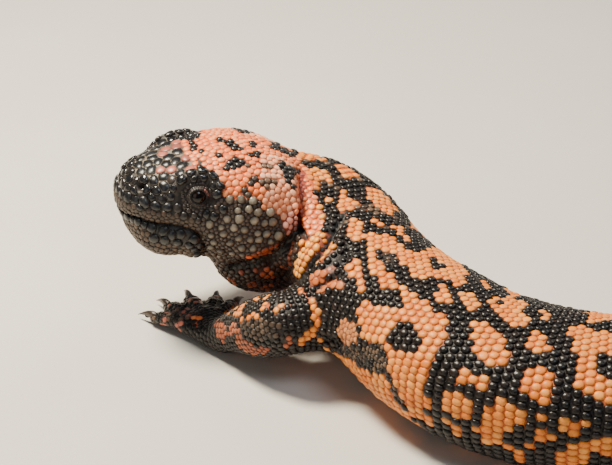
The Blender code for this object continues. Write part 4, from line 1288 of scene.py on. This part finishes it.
# folds that take the cleft tone's painted shade along their bottom
shadedFolds = ("neck_diagonal", "behind_jowl", "arm_wedge")
turned = -0.12  # how far a surface may turn from the camera and still take the drawn marks


def mark(tone, part, on, points):  # gives the drawn marks of one part to the points they cover
    spots = drawn(points)
    for name, title, line in outlines[part]:
        tone[on & inside(spots, line)] = toneNumber[name]


def paintBody(points, place, facing, onLeg):
    coarse = fuzz(points, 11.0, 1) + 0.5 * fuzz(points, 5.5, 2) + 0.15 * fuzz(points, 3.0, 3)
    band = 0.22 * np.cos(2 * math.pi * place / bandPlan["body"])
    tail = np.clip((place - bandPlan["tailFrom"]) / bandPlan["blend"], 0, 1)
    tailBand = np.cos(2 * math.pi * (place - bandPlan["tailMiddle"]) / bandPlan["tail"])
    field = coarse + band * (1 - tail) + tailBand * tail
    tone = np.where(field > 0.05, toneNumber["coral"], toneNumber["ink"])
    tone[facing & (place < bandPlan["drawnTo"])] = toneNumber["ink"]
    tone[(tone == toneNumber["ink"]) & (place < 45) & (fuzz(points, 4.0, 8) > 0.25)] = toneNumber["smoke"]
    mark(tone, "body", facing & ~onLeg, points)
    tone[(tone == toneNumber["smoke"]) & (fuzz(points, 2.6, 23) < -0.12)] = toneNumber["ink"]
    return tone


def paintHead(points, normals, head, facing):
    f, y, z = head.T
    tone = np.full(len(points), toneNumber["salmon"])
    rear = (f < 17 + 4.0 * fuzz(points, 7.0, 14)) & (np.abs(y) > 6) & (f > 4) & (z > 1)
    under = ((z < -9.5) & (f < 36)) | ((z < 2.0) & (f < 14))
    for where, name in ((rear, "blush"), (f > 37.5 + 2.0 * fuzz(points, 6.0, 4), "snout"),
                        ((f > 30) & (z < 11) & (f < 46), "cheek"), ((f > 43) & (z < 8.5), "muzzle"),
                        (under, "throat"), (under & (f < 26) & (fuzz(points, 4.0, 9) > 0.30), "rust")):
        tone[where] = toneNumber[name]
    mark(tone, "head", facing, points)
    tone[(tone == toneNumber["jowl"]) & (np.abs(y) < 9)] = toneNumber["throat"]
    other = points - 2 * y[:, None] * headRight  # the far side of the head takes the near side's marks
    otherNormals = normals - 2 * (normals @ headRight)[:, None] * headRight
    mark(tone, "head", ~facing & (y > 3) & (otherNormals @ faceOutward > turned), other)
    gap = z - mouthHeight(f)
    for name, first, last, low, high in lipBands:
        tone[(f > first) & (f < last) & (gap > low) & (gap <= high)] = toneNumber[name]
    ridge = distanceToLine(oneSide(head), np.array(browRidge))[0]
    tone[ridge < 2.0] = toneNumber["brow"]
    ahead, above = f - eyePlace[0], z - eyePlace[2]
    fromEye = np.hypot(ahead, above)
    for side in eyes:
        d, share = eyeAngles(points, side)
        lid = d < 5.2
        tone[lid & (ridge > 1.5)] = toneNumber["lid"]
        tone[lid & (share < 1.36)] = toneNumber["lidRim"]
        behind = (above - ahead) / np.maximum(fromEye, 0.1) > 1.2
        tone[lid & (share < 1.36) & behind] = toneNumber["lidPink"]
    tone[(tone == toneNumber["jowl"]) & (bossDistance(points) > 0.8)] = toneNumber["jowlSkin"]
    tone[(tone == toneNumber["jowl"]) & (fromEye < 8.4)] = toneNumber["brow"]
    tone[(tone == toneNumber["salmon"]) & (f > 38)] = toneNumber["pink"]
    return tone


def paintLegs(points, info, facing, onLeg, tone):
    field = fuzz(points, 7.0, 5) + 0.4 * fuzz(points, 3.2, 6) - np.clip((info["down"] - 45) / 40, 0, 0.7)
    tone[onLeg] = np.where(field[onLeg] > 0.05, toneNumber["coral"], toneNumber["ink"])
    arm = onLeg & (info["leg"] == legNames.index("left_fore")) & facing
    tone[arm] = toneNumber["ink"]
    mark(tone, "arm", arm, points)
    upper = drawn(points)[:, 0] < -3.0  # mm right of the picture's middle
    beaded = arm & upper & (tone == toneNumber["coral"]) & (fuzz(points, 2.1, 15) > -0.02)
    tone[beaded] = toneNumber["ink"]  # single black beads between the orange ones
    hand = arm & (info["down"] > handStart)
    tone[hand & (fuzz(points, 3.4, 21) > 0.10)] = toneNumber["smoke"]
    tone[hand & (fuzz(points, 2.6, 22) > 0.30)] = toneNumber["pink"]


def paint(points, normals, info):  # index of each point's tone
    onHead = info["isHead"]
    onLeg = (info["leg"] >= 0) & ~onHead
    facing = normals @ faceOutward > turned
    tone = paintBody(points, info["place"], facing, onLeg)
    tone[onHead] = paintHead(points, normals, info["head"], facing)[onHead]
    # painted shade: the cleft tone along the bottom of the deepest folds
    for title in shadedFolds:
        line, depth, width = foldLines[title]
        tone[facing & ~onLeg & (distanceOnFace(points, line)[0] < width * 0.5)] = toneNumber["cleft"]
    paintLegs(points, info, facing, onLeg, tone)
    return tone


def toneColumn(k):
    return np.array([linear(tones[name][k]) if k < 3 else tones[name][k] for name in toneNames])


toneColours, toneOthers, toneGaps, toneRough, toneHeight, toneWidth, toneRound = map(toneColumn, range(7))
# painted highlight: every scale's top is paler, by 1.08 unless listed
toneTopHighlight = np.array([paintedTopHighlights.get(name, 1.08) for name in toneNames])
toneTop = np.array([plateTops.get(name, 0.0) for name in toneNames])

spokes = 10  # points round a scale
flatRings = ((1.0, -0.9), (0.99, 0.10), (0.60, 0.66))  # a low dome: share of the width, share of the height
roundRings = ((1.0, -0.9), (0.96, 0.36), (0.66, 0.84))  # a round bead
ringCount = len(flatRings)
seamPaintedShade, rimPaintedShade = 0.8, 0.95  # painted shade: how bright a scale's foot and rim are
topLean = 0.10  # how far back a scale's top leans, as a share of its size
offFloor = 0.02  # mm, the lowest that a scale may reach
mapPatch = 0.0012  # size of one scale on its piece's map
mapUnder = {"offset": 0.0013, "size": 0.12}  # where its underside lies beside it, and how small
longest = 0.68  # how far a scale may reach, as a share of the spacing
aslant = 0.12  # a neighbour further off a spoke's way than this doesn't bound it


def varied(shape, amount):  # random factors round 1, none of them far off
    return 1 + amount * np.clip(chance.standard_normal(shape), -2, 2)


def scaleCells(points, normals, spacing):  # how far each scale reaches in each direction before its neighbour
    near = neighboursOf(points, 10)
    along = np.where(scaleInfo["isHead"][:, None], -headAhead, -spineAt(scaleInfo["place"])[1])
    along = along - normals * np.sum(along * normals, axis=1)[:, None]
    isShort = np.linalg.norm(along, axis=1)[:, None] < 0.2
    along = unit(np.where(isShort, np.cross(normals, upward) + 0.01, along))
    across = np.cross(normals, along)
    away = points[near] - points[:, None, :]
    x = np.sum(away * along[:, None, :], axis=2)
    y = np.sum(away * across[:, None, :], axis=2)
    distance = np.hypot(x, y)
    bearing = np.arctan2(y, x)
    share = spacing[:, None] / (spacing[:, None] + spacing[near])
    angles = 2 * math.pi * np.arange(spokes) / spokes
    facing = np.cos(angles[None, None, :] - bearing[:, :, None])
    reach = (distance * share)[:, :, None] / np.maximum(facing, aslant)
    reach = np.where(facing > aslant, reach, np.inf).min(1)
    reach = np.minimum(reach, spacing[:, None] * longest)
    rounded = 0.5 * reach + 0.25 * np.roll(reach, 1, axis=1) + 0.25 * np.roll(reach, -1, axis=1)
    reach = np.where(toneTop[scaleTone][:, None] > 0, reach, rounded) * varied(reach.shape, 0.045)
    return reach, along, across


def addPiece(name, points, faces):
    mesh = bpy.data.meshes.new(name)
    mesh.from_pydata((points * mm).tolist(), [], faces)
    mesh.polygons.foreach_set("use_smooth", np.ones(len(mesh.polygons), bool))
    mesh.update()
    piece = bpy.data.objects.new(name, mesh)
    bpy.context.scene.collection.objects.link(piece)
    return piece


def scaleFaces():  # the faces of one scale: bands between its rings, its top and its underside
    faces = []
    for k in range(spokes):
        after = (k + 1) % spokes
        for ring in range(ringCount - 1):
            a, b = ring * spokes, (ring + 1) * spokes
            faces.append((a + k, a + after, b + after, b + k))
        last = (ringCount - 1) * spokes
        faces.append((last + k, last + after, spokes * ringCount))
    faces.append(tuple(reversed(range(spokes))))
    return faces


def scaleMap(mesh, middle, each, angles):  # a small patch of the map for each scale, round its place there
    count = len(middle)
    spot = np.zeros((each, 2))
    circle = np.stack([np.cos(angles), np.sin(angles)], axis=1)
    for ring, share in enumerate((1.0, 0.9, 0.5)):
        spot[ring * spokes:(ring + 1) * spokes] = circle * share
    places = np.repeat(middle[:, None, :], each, axis=1) + spot[None] * mapPatch
    meshCorners = np.empty(len(mesh.loops), dtype=np.int32)
    mesh.loops.foreach_get("vertex_index", meshCorners)
    uv = places.reshape(-1, 2)[meshCorners]
    perScale = len(mesh.loops) // count
    under = np.arange(len(mesh.loops)) % perScale >= perScale - spokes  # the underside has its own corner
    centre = np.repeat(middle, perScale, axis=0)
    uv[under] = centre[under] + mapUnder["offset"] + (uv[under] - centre[under]) * mapUnder["size"]
    mesh.uv_layers.new(name="OFBake").data.foreach_set("uv", uv.ravel())


def growScales(name, chosen, unwrap):
    points, normals = scalePoints[chosen], scaleNormals[chosen]
    along, across, tone = cellAlong[chosen], cellAcross[chosen], scaleTone[chosen]
    angles = 2 * math.pi * np.arange(spokes) / spokes
    width = cellReach[chosen] * toneWidth[tone][:, None]
    size = width.mean(1)
    height = size * toneHeight[tone] * scaleFlat[chosen]
    bulge = toneRound[tone]
    ways = (along[:, None, :] * np.cos(angles)[None, :, None]
            + across[:, None, :] * np.sin(angles)[None, :, None])
    rings = []
    for (flatShare, flatLift), (roundShare, roundLift) in zip(flatRings, roundRings):
        share = flatShare + (roundShare - flatShare) * bulge
        if len(rings) == ringCount - 1:
            share = np.maximum(share, toneTop[tone])
        level = height * (flatLift + (roundLift - flatLift) * bulge)
        flat = (width * share[:, None])[:, :, None] * ways
        rings.append(points[:, None, :] + flat + normals[:, None, :] * level[:, None, None])
    apex = points + normals * height[:, None] + along * (size * topLean)[:, None]
    block = np.concatenate([*rings, apex[:, None, :]], axis=1)
    block[..., 2] = np.maximum(block[..., 2], offFloor)

    vary = scaleVary[chosen][:, None]
    main = (toneColours[tone] * (1 - vary) + toneOthers[tone] * vary) * scaleTintAndShade[chosen][:, None]
    gap = toneGaps[tone]
    seam = np.where(toneTop[tone] > 0, 1.0, 0.5)[:, None]  # plates show their pale seams whole
    # painted shade at each scale's foot and rim, and a painted highlight on its top
    shades = (gap * seamPaintedShade, gap * seam + main * (1 - seam), main * rimPaintedShade,
              main * toneTopHighlight[tone][:, None])
    colour = np.concatenate([np.repeat(shade[:, None, :], n, axis=1)
                             for shade, n in zip(shades, [spokes] * ringCount + [1])], axis=1)
    each = spokes * ringCount + 1
    template = scaleFaces()
    faces = [tuple(v + start for v in face)
             for start in range(0, len(chosen) * each, each) for face in template]
    piece = addPiece(name, block.reshape(-1, 3), faces)
    addColours(piece, "scaleColour", colour.reshape(-1, 3))
    rough = piece.data.attributes.new("scaleRough", "FLOAT", "POINT")
    rough.data.foreach_set("value", np.repeat(toneRough[tone], each))
    scaleMap(piece.data, unwrap(scaleInfo, chosen), each, angles)
    print(name, len(chosen), "scales", sum(len(f) - 2 for f in template) * len(chosen), "triangles")
    return piece


cellSize = scaleSpacing * varied(len(scalePoints), 0.10)
scaleTone = paint(scalePoints, scaleNormals, scaleInfo)
isBoss = scaleTone == toneNumber["jowl"]
cellSize[isBoss] *= varied(isBoss.sum(), 0.12)
cellReach, cellAlong, cellAcross = scaleCells(scalePoints, scaleNormals, cellSize)
# each scale's random tint, darkened further below by painted shade in the folds and under the jaw
scaleTintAndShade = varied(len(scalePoints), 0.07)
scaleVary = 0.45 + 0.55 * fuzz(scalePoints, 7.0, 12) + 0.30 * chance.standard_normal(len(scalePoints))
scaleVary = np.clip(scaleVary, 0, 1)


def creaseShade(points, normals):  # painted shade: folds are darker at their bottom
    shade = np.ones(len(points))
    facing = normals @ faceOutward > -0.2
    for line, depth, width in foldLines.values():
        d = distanceOnFace(points, line)[0]
        shade *= 1 - np.where(facing, 0.30 * depth * hill(d, width * 0.9), 0).clip(0, 0.75)
    return shade


# painted shade of the folds on the scales
scaleTintAndShade *= creaseShade(scalePoints, scaleNormals)
# painted shade: the jowl's bosses darken towards the bottom of the jaw
shadedLowJowl = isBoss & (scaleInfo["head"][:, 2] < 2)
scaleTintAndShade[shadedLowJowl] *= np.interp(scaleInfo["head"][shadedLowJowl, 2], [-9, 2], [0.5, 1.0])
belly = (scaleInfo["turn"] < -35) & (scaleInfo["turn"] > -145) & ~scaleInfo["isHead"]
scaleFlat = np.where(scaleInfo["digit"], 0.7, np.where(belly, 0.6, 1.0)) * varied(len(scalePoints), 0.16)


# Each piece of scales has a map of its own: along the part, and round it
def roundShare(up, across):  # share of a turn
    return (np.degrees(np.arctan2(up, across)) % 360) / 360


def withMargin(values):  # stays clear of the map's edges
    return values * 0.96 + 0.02


def bodyUnwrap(first, last):
    def unwrap(info, chosen):
        u = (info["place"][chosen] - first) / (last - first)
        v = (info["turn"][chosen] % 360) / 360
        return withMargin(np.clip(np.stack([u, v], axis=1), 0, 1))
    return unwrap


def headUnwrap(info, chosen):
    head = info["head"][chosen]
    u = np.clip((head[:, 0] + 6) / 68, 0, 1)
    return withMargin(np.stack([u, roundShare(head[:, 2], head[:, 1])], axis=1))


def legUnwrap(info, chosen):
    points = scalePoints[chosen]
    result = np.zeros((len(chosen), 2))
    for index, name in enumerate(legPlan):
        on = info["leg"][chosen] == index
        line, _ = legLines[name]
        along = unit(line[-1] - line[0])
        sideways = unit(np.cross(along, upward))
        top = np.cross(sideways, along)
        away = points[on] - line.mean(0)
        u = np.clip(((points[on] - line[0]) @ along) / (np.linalg.norm(line[-1] - line[0]) + 24), 0, 1)
        v = roundShare(away @ top, away @ sideways)
        result[on] = np.stack([withMargin(u), (index % 2 + v * 0.94 + 0.03) / 2], axis=1)  # a half each
    return result


onHead = scaleInfo["isHead"]
onLeg = (scaleInfo["leg"] >= 0) & ~onHead
onBody = ~onHead & ~onLeg
bodyCuts = (spineStart, 62, 115, 175, 245, spineEnd)  # where one piece of scales ends and the next begins
bodyPart = np.searchsorted(bodyCuts[1:-1], scaleInfo["place"], side="right")
bodySlots = {"neck": "neck_skin", "chest": "chest_skin", "trunk": "trunk_skin", "hips": "pelvis_skin",
             "tail": "tail_base_skin"}
groups = {"scales_head": (onHead, headUnwrap, "head_skin")}  # which scales, how their map lies, material slot
for part, (title, slot) in enumerate(bodySlots.items()):
    groups["scales_" + title] = (onBody & (bodyPart == part), bodyUnwrap(*bodyCuts[part:part + 2]), slot)
onFore = scaleInfo["leg"] < legNames.index("left_hind")
groups["scales_forelegs"] = (onLeg & onFore, legUnwrap, "forearm_skin")
groups["scales_hindlegs"] = (onLeg & ~onFore, legUnwrap, "shin_skin")


# Materials
def makeMaterial(name):
    material = bpy.data.materials.new(name)
    material.use_nodes = True
    tree = material.node_tree
    tree.nodes.clear()
    return material, tree


def addNode(tree, kind, settings=None, **links):  # a node, its settings, and what each input takes
    node = tree.nodes.new(kind)
    for key, value in (settings or {}).items():
        setattr(node, key, value)
    for key, value in links.items():
        socket = node.inputs[key.replace("_", " ")] if not key.startswith("in") else node.inputs[int(key[2:])]
        if isinstance(value, bpy.types.NodeSocket):
            tree.links.new(value, socket)
        else:
            socket.default_value = value
    return node


def keratinMaterial(name, gloss):  # keratin over bone, grown in beads: satin, with a fine grain and stains
    material, tree = makeMaterial(name)
    coordinates = addNode(tree, "ShaderNodeTexCoord")
    colour = addNode(tree, "ShaderNodeAttribute", {"attribute_name": "scaleColour"})
    rough = addNode(tree, "ShaderNodeAttribute", {"attribute_name": "scaleRough"})
    stain = addNode(tree, "ShaderNodeTexNoise", Vector=coordinates.outputs["Object"], Scale=420.0, Detail=3.0)
    strength = addNode(tree, "ShaderNodeMapRange", in0=stain.outputs["Fac"], in1=0.3, in2=0.7, in3=0.86,
                       in4=1.10)
    tinted = addNode(tree, "ShaderNodeVectorMath", {"operation": "SCALE"}, in0=colour.outputs["Color"],
                     in3=strength.outputs[0])
    grain = addNode(tree, "ShaderNodeTexNoise", Vector=coordinates.outputs["Object"], Scale=2600.0,
                    Detail=2.0)
    bump = addNode(tree, "ShaderNodeBump", Strength=0.18, Distance=0.00025, Height=grain.outputs["Fac"])
    shader = addNode(tree, "ShaderNodeBsdfPrincipled", Base_Color=tinted.outputs[0],
                     Roughness=rough.outputs["Fac"], Normal=bump.outputs[0], IOR=1.53,
                     Specular_IOR_Level=gloss)
    addNode(tree, "ShaderNodeOutputMaterial", Surface=shader.outputs[0])
    return material


def skinMaterial():  # soft hide between the beads, dull and finely wrinkled
    material, tree = makeMaterial("soft_hide")
    coordinates = addNode(tree, "ShaderNodeTexCoord")
    colour = addNode(tree, "ShaderNodeAttribute", {"attribute_name": "scaleColour"})
    wrinkle = addNode(tree, "ShaderNodeTexNoise", Vector=coordinates.outputs["Object"], Scale=1500.0,
                      Detail=3.0)
    bump = addNode(tree, "ShaderNodeBump", Strength=0.5, Distance=0.0004, Height=wrinkle.outputs["Fac"])
    shader = addNode(tree, "ShaderNodeBsdfPrincipled", Base_Color=colour.outputs["Color"], Roughness=0.55,
                     Normal=bump.outputs[0], IOR=1.45)
    addNode(tree, "ShaderNodeOutputMaterial", Surface=shader.outputs[0])
    return material


def eyeMaterial():  # wet eye: near black brown iris under a clear, glossy cornea
    material, tree = makeMaterial("wet_eye")
    coordinates = addNode(tree, "ShaderNodeTexCoord")
    colour = addNode(tree, "ShaderNodeAttribute", {"attribute_name": "irisColour"})
    fibres = addNode(tree, "ShaderNodeTexNoise", Vector=coordinates.outputs["Object"], Scale=2200.0,
                     Detail=3.0)
    strength = addNode(tree, "ShaderNodeMapRange", in0=fibres.outputs["Fac"], in1=0.3, in2=0.7, in3=0.6,
                       in4=1.5)
    tinted = addNode(tree, "ShaderNodeVectorMath", {"operation": "SCALE"}, in0=colour.outputs["Color"],
                     in3=strength.outputs[0])
    shader = addNode(tree, "ShaderNodeBsdfPrincipled", Base_Color=tinted.outputs[0], Roughness=0.06, IOR=1.38)
    addNode(tree, "ShaderNodeOutputMaterial", Surface=shader.outputs[0])
    return material


def hornMaterial():  # claw horn, grown in thin layers: dark brown, smooth, paler where it wears thin
    material, tree = makeMaterial("claw_horn")
    coordinates = addNode(tree, "ShaderNodeTexCoord")
    layers = addNode(tree, "ShaderNodeTexNoise", Vector=coordinates.outputs["Object"], Scale=900.0,
                     Detail=2.0)
    shade = addNode(tree, "ShaderNodeValToRGB", Fac=layers.outputs["Fac"])
    shade.color_ramp.elements[0].color = (*linear("#1d1714"), 1)
    shade.color_ramp.elements[1].color = (*linear("#4b3d33"), 1)
    shader = addNode(tree, "ShaderNodeBsdfPrincipled", Base_Color=shade.outputs[0], Roughness=0.3, IOR=1.54)
    addNode(tree, "ShaderNodeOutputMaterial", Surface=shader.outputs[0])
    return material


beadFinish = keratinMaterial("keratin_beads", 0.34)
plateFinish = keratinMaterial("keratin_plates", 0.5)  # the head's plates shine more
for name, (mask, unwrap, slot) in groups.items():
    piece = growScales(name, np.where(mask)[0], unwrap)
    piece.data.materials.append(plateFinish if name == "scales_head" else beadFinish)
    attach(piece, "root")

skinTone = paint(skinPoints, skinNormals, skinInfo)
# the skin takes its tones' seam colours, with painted shade in the folds
addColours(skin, "scaleColour", toneGaps[skinTone] * creaseShade(skinPoints, skinNormals)[:, None])
skin.data.materials.append(skinMaterial())
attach(skin, "root")
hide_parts(*[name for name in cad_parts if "eye" not in name])


# Eyes
eyePlan = {  # degrees off the eye's axis, and the colour there: pupil, iris, its dark edge, the white
    "rings": (0, 19, 24, 36, 44, 60),
    "colours": ("#020101", "#020101", "#1c0f0a", "#180d08", "#080504", "#120c0a"),
}
eyeFinish = eyeMaterial()


def makeEye(side):
    bpy.ops.object.select_all(action="DESELECT")
    bpy.ops.mesh.primitive_uv_sphere_add(segments=40, ring_count=28, radius=eyeRadius * mm)
    eye = bpy.context.object
    eye.name = eye.data.name = side + "_eyeball"
    turn = Vector((0, 0, 1)).rotation_difference(Vector(eyeAxes[side])).to_matrix().to_4x4()
    eye.data.transform(Matrix.Translation(Vector(eyes[side] * mm)) @ turn)
    bpy.ops.object.shade_smooth()
    angle = np.degrees(np.arccos(np.clip(unit(readPoints(eye) - eyes[side]) @ eyeAxes[side], -1, 1)))
    hues = np.array([linear(c) for c in eyePlan["colours"]])
    painted = np.stack([np.interp(angle, eyePlan["rings"], hue) for hue in hues.T], axis=1)
    addColours(eye, "irisColour", painted)
    eye.data.materials.append(eyeFinish)
    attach(eye, "root")
    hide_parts(side + "_eye")


for side in eyes:
    makeEye(side)

# Claws
clawPlan = {  # mm, and shares of them
    "length": 7.7, "thickness": 1.45, "point": 0.12, "flat": 0.78, "sides": 12, "cuts": 9,
    "inside": 1.2,  # how far the claw begins inside the digit
    "lift": 0.9, "arch": 0.6, "hook": (1.3, 0.4), "swell": 0.5,
    "offFloor": 0.05,
}


def makeClaw(path, along):
    length = clawPlan["length"]
    bpy.ops.object.select_all(action="DESELECT")
    bpy.ops.mesh.primitive_cone_add(vertices=clawPlan["sides"], radius1=clawPlan["thickness"] * mm,
                                    radius2=clawPlan["point"] * mm, depth=length * mm)
    claw = bpy.context.object
    editAll(bpy.ops.mesh.subdivide, number_cuts=clawPlan["cuts"])
    points = readPoints(claw)
    t = points[:, 2] / length + 0.5
    swell = 1 + clawPlan["swell"] * np.sin(math.pi * np.clip(t, 0, 1)) * (1 - t)
    curl, droop = clawPlan["hook"]
    rise = clawPlan["arch"] * np.sin(math.pi * t) - (curl * t**2 + droop * t)
    start = path[-1] - along * clawPlan["inside"] + upward * clawPlan["lift"]
    placed = start + along * (t * length)[:, None] + upward * (rise + points[:, 0] * swell)[:, None]
    placed += np.cross(along, upward) * (points[:, 1] * clawPlan["flat"] * swell)[:, None]
    placed[:, 2] = np.maximum(placed[:, 2], clawPlan["offFloor"])
    writePoints(claw, placed)
    return claw


def makeClaws(leg):
    piece = joinPieces([makeClaw(path, along) for path, along in digits[leg]])
    editAll(bpy.ops.mesh.normals_make_consistent, inside=False)
    bpy.ops.object.shade_smooth_by_angle(angle=math.radians(50))
    piece.name = piece.data.name = "claws_" + leg
    piece.data.materials.append(horn)
    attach(piece, "root")


horn = hornMaterial()
for leg in legPlan:
    makeClaws(leg)
print("claws:", sum(len(pairs) for pairs in digits.values()))

# Floor, light and camera
bpy.ops.mesh.primitive_plane_add(size=6.0, location=(0, 0, 0))
floor = bpy.context.object
floor.name = "floor"
floorMaterial, tree = makeMaterial("pale_floor")
coordinates = addNode(tree, "ShaderNodeTexCoord")
cloud = addNode(tree, "ShaderNodeTexNoise", Vector=coordinates.outputs["Object"], Scale=14.0, Detail=4.0)
shade = addNode(tree, "ShaderNodeValToRGB", Fac=cloud.outputs["Fac"])
shade.color_ramp.elements[0].color = (*linear("#cfc9bf"), 1)
shade.color_ramp.elements[1].color = (*linear("#dad6ce"), 1)
shader = addNode(tree, "ShaderNodeBsdfPrincipled", Base_Color=shade.outputs[0], Roughness=0.8)
addNode(tree, "ShaderNodeOutputMaterial", Surface=shader.outputs[0])
floor.data.materials.append(floorMaterial)


lightPlan = {  # place, the point it shines at, watts, colour, and the lamp's size, in metres
    "key": ((-0.33, 0.0, 0.47), (-0.11, 0.01, 0.04), 7.6, (1.0, 0.90, 0.72), 0.12),
    "sky": ((0.30, -0.24, 0.90), (-0.10, 0, 0.03), 2.6, (0.80, 0.89, 1.0), 0.35),
    "fill": ((-0.3, -1.1, 0.5), (-0.10, 0, 0.03), 1.6, (1.0, 0.96, 0.92), 0.8),
    "rim": ((0.2, 0.9, 0.8), (0.05, 0, 0.03), 4.5, (1.0, 0.95, 0.86), 0.6),
}


def addLight(name, kind, place, target, power, colour):
    light = bpy.data.lights.new(name, kind)
    light.energy, light.color = power, colour
    lamp = bpy.data.objects.new(name, light)
    bpy.context.scene.collection.objects.link(lamp)
    lamp.location = place
    lamp.rotation_euler = (Vector(target) - Vector(place)).to_track_quat("-Z", "Y").to_euler()
    return light


for name, (place, target, power, colour, size) in lightPlan.items():
    addLight(name, "AREA", place, target, power, colour).size = size
world = bpy.data.worlds.new("studio")
bpy.context.scene.world = world
world.use_nodes = True
world.node_tree.nodes["Background"].inputs["Color"].default_value = (0.95, 0.97, 1.0, 1)
world.node_tree.nodes["Background"].inputs["Strength"].default_value = 0.16


def addCamera():
    data = bpy.data.cameras.new("camera")
    camera = bpy.data.objects.new("camera", data)
    bpy.context.scene.collection.objects.link(camera)
    turn = Matrix((viewRight, viewUp, -viewForward)).transposed().to_4x4()
    turn.translation = Vector(cameraSpot * mm)
    camera.matrix_world = turn
    data.sensor_width = 36
    pixels = 2 * cameraPlan["middlePixel"][0]  # the picture's width
    data.lens = cameraPlan["scale"] * cameraPlan["distance"] * data.sensor_width / pixels
    data.clip_start, data.clip_end = 0.05, 20
    bpy.context.scene.camera = camera


addCamera()
